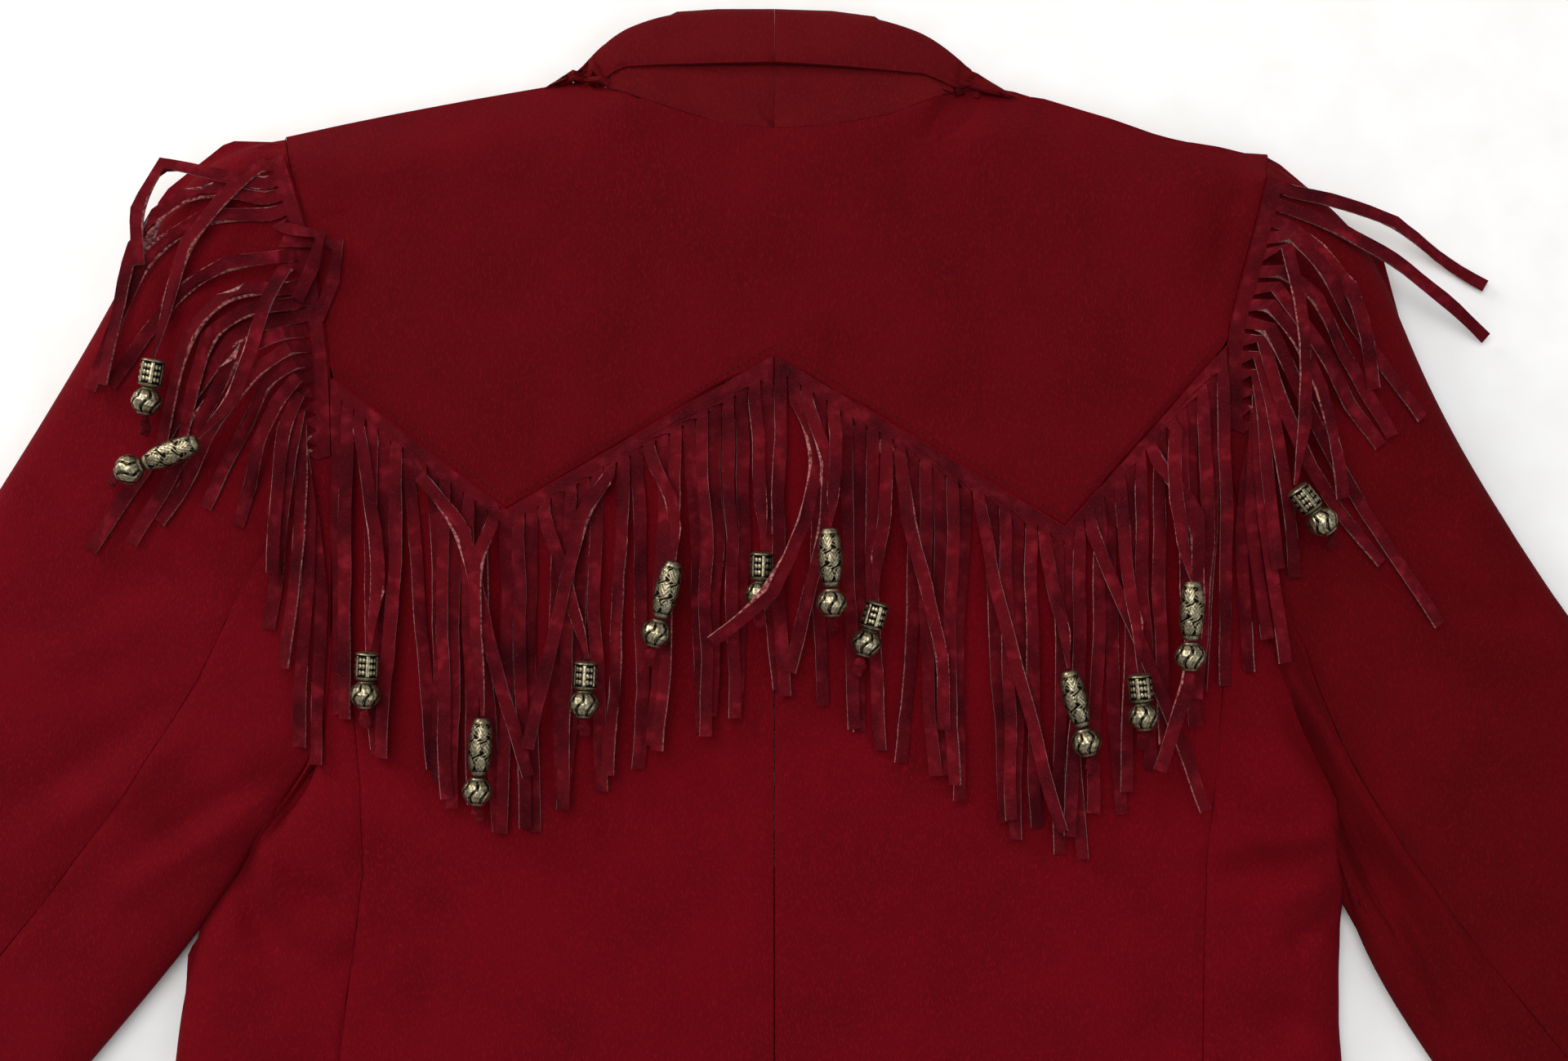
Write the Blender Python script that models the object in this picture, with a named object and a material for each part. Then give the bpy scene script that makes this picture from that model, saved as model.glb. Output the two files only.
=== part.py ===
"""Western blazer in red wool, laid flat on a table with its back up.

The garment is a flattened tube of wool 2 mm thick.  Its outline, as seen from above, is a few
named curves; the height of the cloth over the table follows from the distance to the folds
along that outline.  Every cut piece is a patch of this one surface, 0.3 mm from its neighbours.
Suede fringe hangs from the yoke seam and both armholes; each strand is laid on what is already
there, so that the strands pile up on one another as dropped strips do.

Curves and tables are in millimetres: x to the right from the centre-back seam, y towards the
collar, z up from the table.  The objects are in metres.
"""

import math
import random

import bpy
import numpy as np

MM = 0.001

# ---------------------------------------------------------------- driving sizes (mm)
WALL = 2.0                  # wool melton
SEAM_GAP = 0.3              # between neighbouring pieces
EDGE_INSET = 0.2            # each piece stops this far short of the seam line
FOLD_RADIUS = 17.0          # how far in from a fold the top surface still curves down
SOLE_RADIUS = 8.0           # the same for the underside
FOLD_SHARE = 0.40           # a fold's mid height as a share of the thickness there
LAYER = WALL + SEAM_GAP     # lift of a piece that lies on another
HEM_Y = -447.0
FRONT_LAP = 20.0            # each front runs this far past the centre front

STRIP_WIDTH = 5.3           # one suede strand
STRIP_THICK = 1.1
STRIP_PITCH = 6.45          # strands along the backing
BACKING_DEPTH = 6.0         # uncut band under the seam
FIRST_STEP = 7.0            # a strand leaves the band square to it for this far
STRAND_LENGTH = 142.0       # free length of a strand
PILE_GAP = 0.4              # clear height between things that lie on each other
TABLE_CLEAR = 1.2           # strands past the cloth stay this far above the table

ORIGIN_X = -6.0             # centre of the whole outline, from the centre-back seam
ORIGIN_Y = -110.5

# ---------------------------------------------------------------- colours (linear)
WOOL_RED = (0.115, 0.004, 0.008, 1)
SUEDE_WINE = (0.080, 0.004, 0.009, 1)
ANTIQUE_BRASS = (0.33, 0.26, 0.13, 1)
HORN_DARK = (0.03, 0.008, 0.008, 1)

# ---------------------------------------------------------------- outline curves (mm, from above)
SIDES = ("left", "right")
OUTER_EDGE = {              # neck point, shoulder, shoulder tip, sleeve head, elbow, cuff
    "left": [(-84, 194.5), (-157, 181.5), (-211, 170), (-252, 160), (-275, 119), (-288, 96),
             (-308, 59.5), (-332, 25), (-430, -130), (-551.6, -323.8)],
    "right": [(88, 193), (158, 172), (212.5, 161), (257, 127), (275, 80), (294.5, 32.5),
              (317, 6), (340, -27), (430, -165), (540.4, -341.7)],
}
TIP_INDEX = 2               # the shoulder tip's place in those rows
INNER_EDGE = {              # armpit, forearm, cuff
    "left": [(-201.5, -102.5), (-221, -131), (-249.5, -175), (-293.5, -227), (-370, -317),
             (-446.4, -400.2)],
    "right": [(246, -124), (249.5, -168), (282.5, -227), (355, -322), (432.6, -414.3)],
}
SIDE_EDGE = {               # armpit to hem, along the side fold of the body
    "left": [(-199, -105), (-204.5, -118), (-216.5, -136), (-244, -177), (-252, -205), (-257, -245),
             (-262, -330), (-266, HEM_Y)],
    "right": [(244.4, -125), (245.6, -138), (241, -168), (240, -195), (242, -227), (247, -330),
              (252, HEM_Y)],
}
ARMHOLE = {                 # shoulder tip to armpit
    "left": [(-211, 170), (-197, 122.5), (-190, 77), (-188.5, 31.5), (-189, -17.5),
             (-190, -58), (-193.5, -84), (-201.5, -102.5)],
    "right": [(212.5, 161), (200, 112), (193, 80.5), (195, 31.5), (207, -31.5), (219.5, -66.5),
              (246, -124)],
}
YOKE_EDGE_Y = {"left": 66.5, "right": 80.5}     # where the yoke edge meets the armhole
YOKE_POINT = {"left": (-114.5, 9.8), "right": (124.3, 2.5)}
YOKE_PEAK = (0.0, 76.0)
NECK_SEAM = [(-84, 194.5), (-59, 185.3), (-43.8, 180), (-20, 173), (0, 171.5), (20, 172.3),
             (50, 177.5), (66, 183.8), (88, 193)]
BACK_SEAM = {               # from the armhole to the hem, over the shoulder blade
    "left": [(-188.7, 3.5), (-183, -50), (-178, -105), (-177, -139), (-179, -170),
             (-187.6, -226), (-190, -300), (-194, HEM_Y)],
    "right": [(196.6, 17.5), (193, -50), (189.7, -108), (185.5, -146), (184.5, -225),
              (186, -300), (190, HEM_Y)],
}
FRONT_SEAM = {              # on the underside, from the armhole to the hem
    "left": [(-189.5, -40), (-183, -110), (-172, -200), (-168, -300), (-170, HEM_Y)],
    "right": [(208.6, -40), (190, -110), (176, -200), (170, -300), (172, HEM_Y)],
}
ROLL_LINE = {               # the front's edge under the lapel, neck point to break, then the lap
    "left": [(-84, 194.5), (-73, 150), (-46, 50), (-18, -60), (-5, -136), (10, -170),
             (FRONT_LAP, -200), (FRONT_LAP, -300), (FRONT_LAP, HEM_Y)],
    "right": [(88, 193), (77, 150), (50, 50), (22, -60), (7, -136), (-8, -170),
              (-FRONT_LAP, -200), (-FRONT_LAP, -300), (-FRONT_LAP, HEM_Y)],
}

BODY_THICKNESS = [          # columns: y up the back, thickness
    (HEM_Y, 11), (-300, 15), (-150, 19), (0, 22), (90, 26), (180, 27),
]
SLEEVE_THICKNESS = [        # columns: distance down the sleeve from the shoulder tip, thickness
    (0, 27), (150, 24), (300, 19), (450, 15), (640, 11),
]
SLEEVE_AXIS = {"left": (-0.588, -0.809), "right": (0.559, -0.829)}
ARMHOLE_BLEND = 50.0        # over this width the body's thickness turns into the sleeve's

BACK_SEAM_SHARE = [         # where the sleeve's back seam runs: (down the sleeve, across it)
    (0.0, 0.55), (0.25, 0.63), (0.5, 0.64), (1.0, 0.58),
]
FORE_SEAM_SHARE = 0.72      # the same for its front seam, on the underside

BUTTON_AT = (0.0, -205.0)
BUTTON_RADIUS = 9.0
BUTTON_THICK = 2.2
BUTTON_REACH = 46.0         # the fronts stay clear of the button this far round it


# ---------------------------------------------------------------- curves
def smooth(points, count):
    """Catmull-Rom curve through the points, sampled evenly along its length."""
    p = np.array(points, float)
    ends = np.vstack([2 * p[0] - p[1], p, 2 * p[-1] - p[-2]])
    dense = []
    for i in range(1, len(ends) - 2):
        a, b, c, d = ends[i - 1:i + 3]
        t = np.linspace(0, 1, 24, endpoint=False)[:, None]
        dense.append(0.5 * (2 * b + (c - a) * t + (2 * a - 5 * b + 4 * c - d) * t ** 2
                            + (3 * b - a - 3 * c + d) * t ** 3))
    dense = np.vstack(dense + [ends[-2:-1]])
    return even(dense, count)


def even(points, count):
    """A polyline resampled evenly along its length."""
    p = np.array(points, float)
    length = np.concatenate([[0], np.cumsum(np.linalg.norm(np.diff(p, axis=0), axis=1))])
    want = np.linspace(0, length[-1], count)
    return np.stack([np.interp(want, length, p[:, k]) for k in range(p.shape[1])], axis=1)


def between(curve, y_from, y_to, count):
    """The stretch of a curve that falls in y, from one height to another."""
    dense = smooth(curve, 200)
    y = np.linspace(y_from, y_to, count)
    return np.stack([np.interp(-y, -dense[:, 1], dense[:, 0]), y], axis=1)


def read_at(curve, shares):
    """Points of an evenly sampled curve at shares of its length."""
    places = np.linspace(0, 1, len(curve))
    return np.stack([np.interp(shares, places, curve[:, k]) for k in range(2)], axis=1)


def shares_of(points):
    """How far along its own length each point of a line lies, from 0 to 1."""
    length = np.concatenate([[0], np.cumsum(np.linalg.norm(np.diff(points, axis=0), axis=1))])
    return length / length[-1]


def ease(t):
    t = np.clip(t, 0, 1)
    return t * t * (3 - 2 * t)


def quarter_round(share):
    """0 at the fold, 1 where the cloth lies level, along a quarter ellipse."""
    return np.sqrt(np.clip(1 - (1 - np.clip(share, 0, 1)) ** 2, 0, 1))


def table(rows, place):
    places, values = zip(*sorted(rows))
    return np.interp(place, places, values)


# ---------------------------------------------------------------- height of the cloth
BODY_FOLDS = [smooth(OUTER_EDGE[s], 60) for s in SIDES] + [smooth(SIDE_EDGE[s], 40) for s in SIDES]
SLEEVE_FOLDS = [smooth(OUTER_EDGE[s], 60) for s in SIDES] + [smooth(INNER_EDGE[s], 40) for s in SIDES]


def fold_distance(xy, folds, inside):
    """Distance of each point to the nearest fold line, and the direction away from it."""
    xy = np.asarray(xy, float)
    best = np.full(xy.shape[:-1], 1e9)
    away = np.zeros(xy.shape)
    for line in folds:
        for a, b in zip(line[:-1], line[1:]):
            run = b - a
            t = np.clip(((xy - a) @ run) / (run @ run), 0, 1)
            off = xy - (a + t[..., None] * run)
            d = np.linalg.norm(off, axis=-1)
            normal = np.array([-run[1], run[0]]) / np.linalg.norm(run)
            side = np.sign((np.asarray(inside) - a) @ normal)
            square = off / np.maximum(d, 1e-9)[..., None]
            direction = np.where((d > 0.05)[..., None], square, normal * side)
            nearer = d < best - 1e-9
            best = np.where(nearer, d, best)
            away = np.where(nearer[..., None], direction, away)
    return best, away


def full_thickness(xy):
    """Thickness of the laid garment away from its folds."""
    x, y = xy[..., 0], xy[..., 1]
    body = table(BODY_THICKNESS, y)
    result = body
    for side, sign in (("left", -1), ("right", 1)):
        hole = smooth(ARMHOLE[side], 60)
        beyond = sign * (x - np.interp(-y, -hole[:, 1], hole[:, 0]))
        tip = np.array(OUTER_EDGE[side][TIP_INDEX])
        along = (xy - tip) @ np.array(SLEEVE_AXIS[side])
        sleeve = table(SLEEVE_THICKNESS, along)
        blend = ease(beyond / ARMHOLE_BLEND)
        result = result + (sleeve - body) * np.where(sign * x > 0, blend, 0)
    return result


def top_height(xy, folds, inside=(0, 0)):
    d, _ = fold_distance(xy, folds, inside)
    full = full_thickness(np.asarray(xy, float))
    fold = FOLD_SHARE * full
    return fold + (full - fold) * quarter_round(d / FOLD_RADIUS)


def wall_points(xy, face, folds, inside, lift=None):
    """Outer and inner points of a wool wall over the plan xy.

    face is +1 where the wall is the upper layer and -1 where it is the lower one.
    """
    xy = np.asarray(xy, float)
    d, away = fold_distance(xy, folds, inside)
    full = full_thickness(xy)
    fold = FOLD_SHARE * full
    lift = np.zeros(d.shape) if lift is None else lift
    radius = np.where(face > 0, FOLD_RADIUS, SOLE_RADIUS)
    level = np.where(face > 0, full, lift)
    shift = WALL * np.clip(1 - d / radius, 0, 1)
    outer_z = fold + (level - fold) * quarter_round(d / radius)
    inner_level = level - face * WALL
    inner_d = d + shift - WALL
    inner_z = fold + (inner_level - fold) * quarter_round(inner_d / (radius - WALL))
    outer = np.concatenate([xy, outer_z[..., None]], axis=-1)
    inner = np.concatenate([xy + away * shift[..., None], inner_z[..., None]], axis=-1)
    return outer, inner


# ---------------------------------------------------------------- meshes
def material(name, colour, roughness, metallic=0.0):
    found = bpy.data.materials.get(name)
    if found:
        return found
    made = bpy.data.materials.new(name)
    made.use_nodes = True
    shader = made.node_tree.nodes["Principled BSDF"]
    shader.inputs["Base Color"].default_value = colour
    shader.inputs["Roughness"].default_value = roughness
    shader.inputs["Metallic"].default_value = metallic
    return made


def wool():
    return material("wool_melton_red", WOOL_RED, 0.95)


def suede():
    return material("suede_wine", SUEDE_WINE, 0.9)


def brass():
    return material("antique_brass", ANTIQUE_BRASS, 0.4, 1.0)


def signed_volume(points, faces):
    total = 0.0
    for face in faces:
        a = points[face[0]]
        for j, k in zip(face[1:-1], face[2:]):
            total += np.dot(a, np.cross(points[j], points[k]))
    return total / 6


def solid(name, points, faces, finish):
    """One closed body as a named object, its faces turned outwards."""
    points = np.array(points, float)
    if signed_volume(points, faces) < 0:
        faces = [tuple(reversed(f)) for f in faces]
    mesh = bpy.data.meshes.new(name)
    mesh.from_pydata([tuple(p * MM) for p in points], [], faces)
    mesh.update()
    mesh.materials.append(finish)
    mesh.shade_smooth()
    made = bpy.data.objects.new(name, mesh)
    made.parent = GARMENT
    bpy.context.scene.collection.objects.link(made)
    return made


def shell(name, outer, inner, finish):
    """A wall between two grids of points, closed by a rim along its edges."""
    rows, columns = outer.shape[:2]
    points = np.vstack([outer.reshape(-1, 3), inner.reshape(-1, 3)])
    back = rows * columns

    def at(i, j, layer=0):
        return layer * back + i * columns + j

    faces = []
    for i in range(rows - 1):
        for j in range(columns - 1):
            faces.append((at(i, j), at(i, j + 1), at(i + 1, j + 1), at(i + 1, j)))
            faces.append((at(i + 1, j, 1), at(i + 1, j + 1, 1), at(i, j + 1, 1), at(i, j, 1)))
    border = [(0, j) for j in range(columns)] + [(i, columns - 1) for i in range(1, rows)]
    border += [(rows - 1, j) for j in range(columns - 2, -1, -1)]
    border += [(i, 0) for i in range(rows - 2, 0, -1)]
    for (i, j), (k, m) in zip(border, border[1:] + border[:1]):
        faces.append((at(i, j, 1), at(k, m, 1), at(k, m), at(i, j)))
    return solid(name, points, faces, finish)


def coons(bottom, top, left, right, across=None, along=None):
    """Plan of a patch between four curves; rows run from bottom to top.

    across gives each column's place from left to right, and along each row's place from
    bottom to top, where these aren't even.
    """
    bottom, top, left, right = (np.asarray(c, float) for c in (bottom, top, left, right))
    u = (np.linspace(0, 1, len(bottom)) if across is None else np.asarray(across))[None, :, None]
    v = (np.linspace(0, 1, len(left)) if along is None else np.asarray(along))[:, None, None]
    plan = (1 - v) * bottom[None] + v * top[None] + (1 - u) * left[:, None] + u * right[:, None]
    plan = plan - ((1 - u) * (1 - v) * bottom[0] + u * (1 - v) * bottom[-1]
                   + (1 - u) * v * top[0] + u * v * top[-1])
    return plan


def inset(plan, first_row=EDGE_INSET):
    """The plan with its outermost points pulled in from the seams."""
    plan = plan.copy()

    def pull(border, neighbour, amount=EDGE_INSET):
        step = neighbour - border
        return border + step * (amount / np.linalg.norm(step, axis=-1))[..., None]

    plan[0] = pull(plan[0], plan[1], first_row)
    plan[-1] = pull(plan[-1], plan[-2])
    plan[:, 0] = pull(plan[:, 0], plan[:, 1])
    plan[:, -1] = pull(plan[:, -1], plan[:, -2])
    return plan


def by_corners(corners, across):
    """Points at the shares `across` along straight runs between (share, x, y) corners."""
    share, x, y = zip(*corners)
    return np.stack([np.interp(across, share, x), np.interp(across, share, y)], axis=1)


# ---------------------------------------------------------------- back
YOKE_COLUMNS = (0, .07, .13, .2, .25, .29, .34, .39, .44, .5, .555, .61, .66, .705, .76, .82, .88,
                .94, 1)
YOKE_ROWS = 9
PANEL_ROWS = 13
SHOULDER_SHIFT = 0.15       # yoke up and front down along the shoulder seam


def corner_share(x):
    """Where a place on the neck seam falls across the yoke's columns."""
    start, end = NECK_SEAM[0][0], NECK_SEAM[-1][0]
    return 0.29 + 0.415 * (x - start) / (end - start)


def yoke_edge(count_or_shares):
    """The western edge: armhole, point, peak, point, armhole."""
    corners = [(0, yoke_end_x("left"), YOKE_EDGE_Y["left"]), (.2, *YOKE_POINT["left"]),
               (.5, *YOKE_PEAK), (.82, *YOKE_POINT["right"]),
               (1, yoke_end_x("right"), YOKE_EDGE_Y["right"])]
    return by_corners(corners, count_or_shares)


def yoke_end_x(side):
    hole = smooth(ARMHOLE[side], 200)
    return float(np.interp(-YOKE_EDGE_Y[side], -hole[:, 1], hole[:, 0]))


def add_yoke():
    shoulder_left = OUTER_EDGE["left"][1]
    shoulder_right = OUTER_EDGE["right"][1]
    upper = [(0, *OUTER_EDGE["left"][TIP_INDEX]), (.15, *shoulder_left)]
    upper += [(corner_share(x), x, y) for x, y in NECK_SEAM]
    upper += [(.845, *shoulder_right), (1, *OUTER_EDGE["right"][TIP_INDEX])]
    plan = coons(yoke_edge(YOKE_COLUMNS), by_corners(upper, YOKE_COLUMNS),
                 between(ARMHOLE["left"], YOKE_EDGE_Y["left"], 170.0, YOKE_ROWS),
                 between(ARMHOLE["right"], YOKE_EDGE_Y["right"], 161.0, YOKE_ROWS),
                 YOKE_COLUMNS)
    pulled = inset(plan)
    on_fold = np.array([c <= .29 or c >= .705 for c in YOKE_COLUMNS])
    pulled[-1, on_fold] = plan[-1, on_fold]
    pulled[-1, 0] = pulled[-1, 0] + (EDGE_INSET, -EDGE_INSET / 4)
    pulled[-1, -1] = pulled[-1, -1] + (-EDGE_INSET, -EDGE_INSET / 4)
    outer, inner = wall_points(pulled, 1, BODY_FOLDS, (0, 0))
    for layer in (outer, inner):
        layer[-1, on_fold, 2] += SHOULDER_SHIFT
    shell("yoke", outer, inner, wool())


def add_back(side):
    sign = -1 if side == "left" else 1
    shares = (0, .06, .12, .2, .3, .4, .5) if side == "left" else (.5, .6, .7, .82, .88, .94, 1)
    top = yoke_edge(shares)
    hole = between(ARMHOLE[side], YOKE_EDGE_Y[side], BACK_SEAM[side][0][1], 3)
    seam = np.vstack([hole[:-1], smooth(BACK_SEAM[side], PANEL_ROWS)])[::-1]
    up = shares_of(seam)
    centre = np.stack([np.zeros(len(seam)), np.interp(up, (0, 1), (HEM_Y, YOKE_PEAK[1]))], axis=1)
    inner_x = np.interp(shares, (shares[0], shares[-1]), (seam[0, 0], 0) if sign < 0 else (0, seam[0, 0]))
    bottom = np.stack([inner_x, np.full(len(shares), HEM_Y)], axis=1)
    across = np.interp(shares, (shares[0], shares[-1]), (0, 1))
    left, right = (seam, centre) if sign < 0 else (centre, seam)
    plan = inset(coons(bottom, top, left, right, across, up))
    outer, inner = wall_points(plan, 1, BODY_FOLDS, (0, 0))
    shell("back_" + side, outer, inner, wool())


SIDE_COLUMNS = (0, .2, .4, .56, .7, .81, .9, .96, 1)
SIDE_UNDER_COLUMNS = (0, .02, .06, .16, .32, .5, .66, .83, 1)


def add_side(side):
    """A side panel: from the back seam over the side fold to the front seam underneath."""
    edge = smooth(SIDE_EDGE[side], PANEL_ROWS)[::-1]
    seam = smooth(BACK_SEAM[side], PANEL_ROWS)[::-1]
    front = smooth(FRONT_SEAM[side], PANEL_ROWS)[::-1]

    def patch(start, end, shares):
        bottom = np.linspace(start[0], end[0], 9)
        top = between(ARMHOLE[side], start[-1, 1], end[-1, 1], 9)
        top[0], top[-1] = start[-1], end[-1]
        plan = coons(bottom, top, start, end)
        return across_rows(plan, shares)

    over = patch(seam, edge, SIDE_COLUMNS)
    under = patch(edge, front, SIDE_UNDER_COLUMNS)
    plan = inset(np.concatenate([over, under[:, 1:]], axis=1))
    face = np.ones(plan.shape[:2])
    face[:, over.shape[1]:] = -1
    outer, inner = wall_points(plan, face, BODY_FOLDS, (0, 0))
    shell("side_" + side, outer, inner, wool())


def across_rows(plan, shares):
    """The plan's rows read again at other shares across."""
    even_shares = np.linspace(0, 1, plan.shape[1])
    shares = np.asarray(shares, float)
    if shares.ndim == 1:
        shares = np.repeat(shares[None], plan.shape[0], axis=0)
    result = np.zeros((plan.shape[0], shares.shape[1], 2))
    for i, row in enumerate(shares):
        for k in range(2):
            result[i, :, k] = np.interp(row, even_shares, plan[i, :, k])
    return result


# ---------------------------------------------------------------- fronts, face down
# columns: y, width of the lapel
LAPEL_WIDTH = [(182, 26), (150, 38), (100, 50), (40, 58), (-20, 52), (-80, 34), (-130, 8)]
LIFT_RAMP = 16.0            # a front comes down from what it lies on over this width
LIFT_MARGIN = 26.0          # and stays up for this far past it
FRONT_COLUMNS = 9
FRONT_HOLE_ROWS = 9


def roll_x(side, y):
    roll = smooth(ROLL_LINE[side], 200)
    return np.interp(-np.asarray(y, float), -roll[:, 1], roll[:, 0])


def over_lapel(side, xy):
    """1 where a front lies on its lapel, 0 clear of it."""
    x, y = xy[..., 0], xy[..., 1]
    sign = -1 if side == "left" else 1
    edge = sign * roll_x(side, np.clip(y, HEM_Y, 190)) + table(LAPEL_WIDTH, y)
    return ease((edge + LIFT_MARGIN + LIFT_RAMP - sign * x) / LIFT_RAMP) * ease((y + 195) / 20)


def front_lift(side, xy):
    """How far a front lies above the table over its lapel, the other front and the button."""
    x, y = xy[..., 0], xy[..., 1]
    lift = over_lapel(side, xy)
    if side == "left":
        over_front = ease((x + FRONT_LAP + LIFT_MARGIN + LIFT_RAMP) / LIFT_RAMP) * ease((-75 - y) / 20)
        lift = np.maximum(lift, over_front * (1 + over_lapel("right", xy)))
    from_button = np.hypot(x - BUTTON_AT[0], y - BUTTON_AT[1]) - BUTTON_REACH
    return LAYER * lift + (BUTTON_THICK + SEAM_GAP) * ease(1 - from_button / LIFT_RAMP)


def add_front(side):
    hole_from = FRONT_SEAM[side][0][1]
    tip = OUTER_EDGE[side][TIP_INDEX]
    hole = between(ARMHOLE[side], hole_from, tip[1], FRONT_HOLE_ROWS)
    hole[0] = FRONT_SEAM[side][0]
    outline = np.vstack([smooth(FRONT_SEAM[side], PANEL_ROWS)[::-1][:-1], hole])
    up = shares_of(outline)
    roll = read_at(smooth(ROLL_LINE[side], 200)[::-1], up)
    shoulder = even(OUTER_EDGE[side][TIP_INDEX::-1], FRONT_COLUMNS)
    hem = np.linspace(outline[0], roll[0], FRONT_COLUMNS)
    plan = coons(hem, shoulder, outline, roll, along=up)
    pulled = inset(plan)
    pulled[-1] = plan[-1]
    pulled[-1, 0] = pulled[-1, 0] + (pulled[-1, 1] - pulled[-1, 0]) * 0.01
    pulled[-1, -1] = pulled[-1, -1] + (pulled[-1, -2] - pulled[-1, -1]) * 0.02
    outer, inner = wall_points(pulled, -1, BODY_FOLDS, (0, 0), front_lift(side, pulled))
    for layer in (outer, inner):
        layer[-1, :, 2] -= SHOULDER_SHIFT
    shell("front_" + side, outer, inner, wool())


def add_lapel(side):
    """The turned-back lapel, flat on the table under its front."""
    sign = -1 if side == "left" else 1
    rows = [y for y, _ in LAPEL_WIDTH]
    plan = []
    for y in rows:
        roll = float(roll_x(side, y))
        start = roll - sign * 3.0 if abs(roll) > 6 else roll
        width = table(LAPEL_WIDTH, y)
        plan.append([(start + sign * share * width, y - 4 * share) for share in (0, .35, .7, 1)])
    plan = np.array(plan)
    outer = np.concatenate([plan, np.zeros(plan.shape[:2] + (1,))], axis=-1)
    inner = outer + (0, 0, WALL)
    shell("lapel_" + side, outer, inner, wool())


def add_button():
    points, faces = [], []
    sides = 16
    for radius, z in ((BUTTON_RADIUS, 0.0), (BUTTON_RADIUS, BUTTON_THICK)):
        for i in range(sides):
            turn = 2 * math.pi * i / sides
            points.append((BUTTON_AT[0] + radius * math.cos(turn),
                           BUTTON_AT[1] + radius * math.sin(turn), z))
    faces.append(tuple(range(sides))[::-1])
    faces.append(tuple(range(sides, 2 * sides)))
    for i in range(sides):
        k = (i + 1) % sides
        faces.append((i, k, sides + k, sides + i))
    button = solid("button", points, faces, material("horn_dark", HORN_DARK, 0.4))
    button.data.set_sharp_from_angle(angle=math.radians(40))


# ---------------------------------------------------------------- collar
COLLAR_COLUMNS = ("roll_x", "roll_y", "roll_z", "edge_x", "edge_y", "edge_z", "seam_x", "seam_y",
                  "turn", "half_gap")
COLLAR_ROWS = [             # left half, from the centre-back seam to the shoulder fold
    (-0.2, 222.6, 13.0, -0.2, 199.8, 19.5, -0.2, 172.9, 0, 1.4),
    (-25, 222.6, 13.0, -27, 199.4, 19.5, -20, 174.5, 0, 1.4),
    (-49, 221.0, 13.5, -55, 198.6, 19.2, -43.6, 181.7, 0, 1.4),
    (-67, 214.5, 14.0, -78, 198.8, 18.6, -60, 188.0, 15, 1.0),
    (-80, 206.5, 14.0, -94, 196.8, 14.8, -74.5, 194.6, 50, 0.6),
    (-87, 201.5, 11.0, -101, 193.0, 11.0, -81, 197.4, 90, 0.25),
]
COLLAR_RIGHT_GROWTH = 0.07  # the right end lies a little further out and lower
COLLAR_RIGHT_DROP = 5.3


def mirrored(side, x, y):
    if side == "left":
        return x, y
    share = float(ease(abs(x) / 100))
    return -x * (1 + COLLAR_RIGHT_GROWTH * share), y - COLLAR_RIGHT_DROP * share


def add_collar(side):
    """Half a collar: fall, roll and stand as one folded wall."""
    sections = []
    for row in COLLAR_ROWS:
        part = dict(zip(COLLAR_COLUMNS, row))
        roll = np.array([*mirrored(side, part["roll_x"], part["roll_y"]), part["roll_z"]])
        edge = np.array([*mirrored(side, part["edge_x"], part["edge_y"]), part["edge_z"]])
        seam_xy = np.array(mirrored(side, part["seam_x"], part["seam_y"]))
        turn = math.radians(part["turn"])
        up = np.array([0, math.sin(turn), math.cos(turn)])
        near, far = part["half_gap"], part["half_gap"] + WALL
        seam_z = float(top_height(seam_xy, BODY_FOLDS)) + near * math.cos(turn)
        seam = np.array([*seam_xy, seam_z])

        def beside(point, along, height):
            normal = up - along * (up @ along)
            return point + normal / np.linalg.norm(normal) * height

        fall = (edge - roll) / np.linalg.norm(edge - roll)
        stand = (seam - roll) / np.linalg.norm(seam - roll)
        mid_fall = roll + fall * 0.5 * np.linalg.norm(edge - roll)
        mid_stand = roll + stand * 0.5 * np.linalg.norm(seam - roll)
        section = [beside(edge, fall, far), beside(mid_fall, fall, far + 0.8),
                   beside(roll, fall, far), roll - fall * far * 0.9,
                   beside(roll, stand, -far), beside(mid_stand, stand, -far),
                   beside(seam, stand, -far), beside(seam, stand, -near),
                   beside(mid_stand, stand, -near), beside(roll, stand, -near),
                   roll - fall * near * 0.9, beside(roll, fall, near),
                   beside(mid_fall, fall, near + 0.8), beside(edge, fall, near)]
        sections.append(section)
    tube("collar_" + side, sections, wool())


def tube(name, sections, finish):
    """A closed body through rings of points, with flat ends."""
    count = len(sections[0])
    points = [p for section in sections for p in section]
    faces = []
    for i in range(len(sections) - 1):
        for j in range(count):
            k = (j + 1) % count
            faces.append((i * count + j, i * count + k, (i + 1) * count + k, (i + 1) * count + j))
    half = count // 2
    for base, flip in ((0, False), ((len(sections) - 1) * count, True)):
        for j in range(half - 1):
            a, b = j, j + 1
            c, d = count - 2 - j, count - 1 - j
            quad = (base + a, base + b, base + c, base + d)
            faces.append(quad if flip else tuple(reversed(quad)))
    return solid(name, points, faces, finish)


# ---------------------------------------------------------------- sleeves
SLEEVE_ROWS = (0, .04, .1, .19, .3, .43, .57, .71, .86, 1)
SLEEVE_SAMPLES = 41
TOWARDS_FOLD = (1, .8, .6, .42, .27, .15, .07, .025, 0)
FROM_OUTER_FOLD = (.02, .06, .15, .28, .43, .58, .72, .86, 1)
FROM_INNER_FOLD = (.05, .15, .4, .7, 1)
SLEEVE_HEAD_INSET = 0.9     # the armhole curve has fewer points here than along the body


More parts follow.
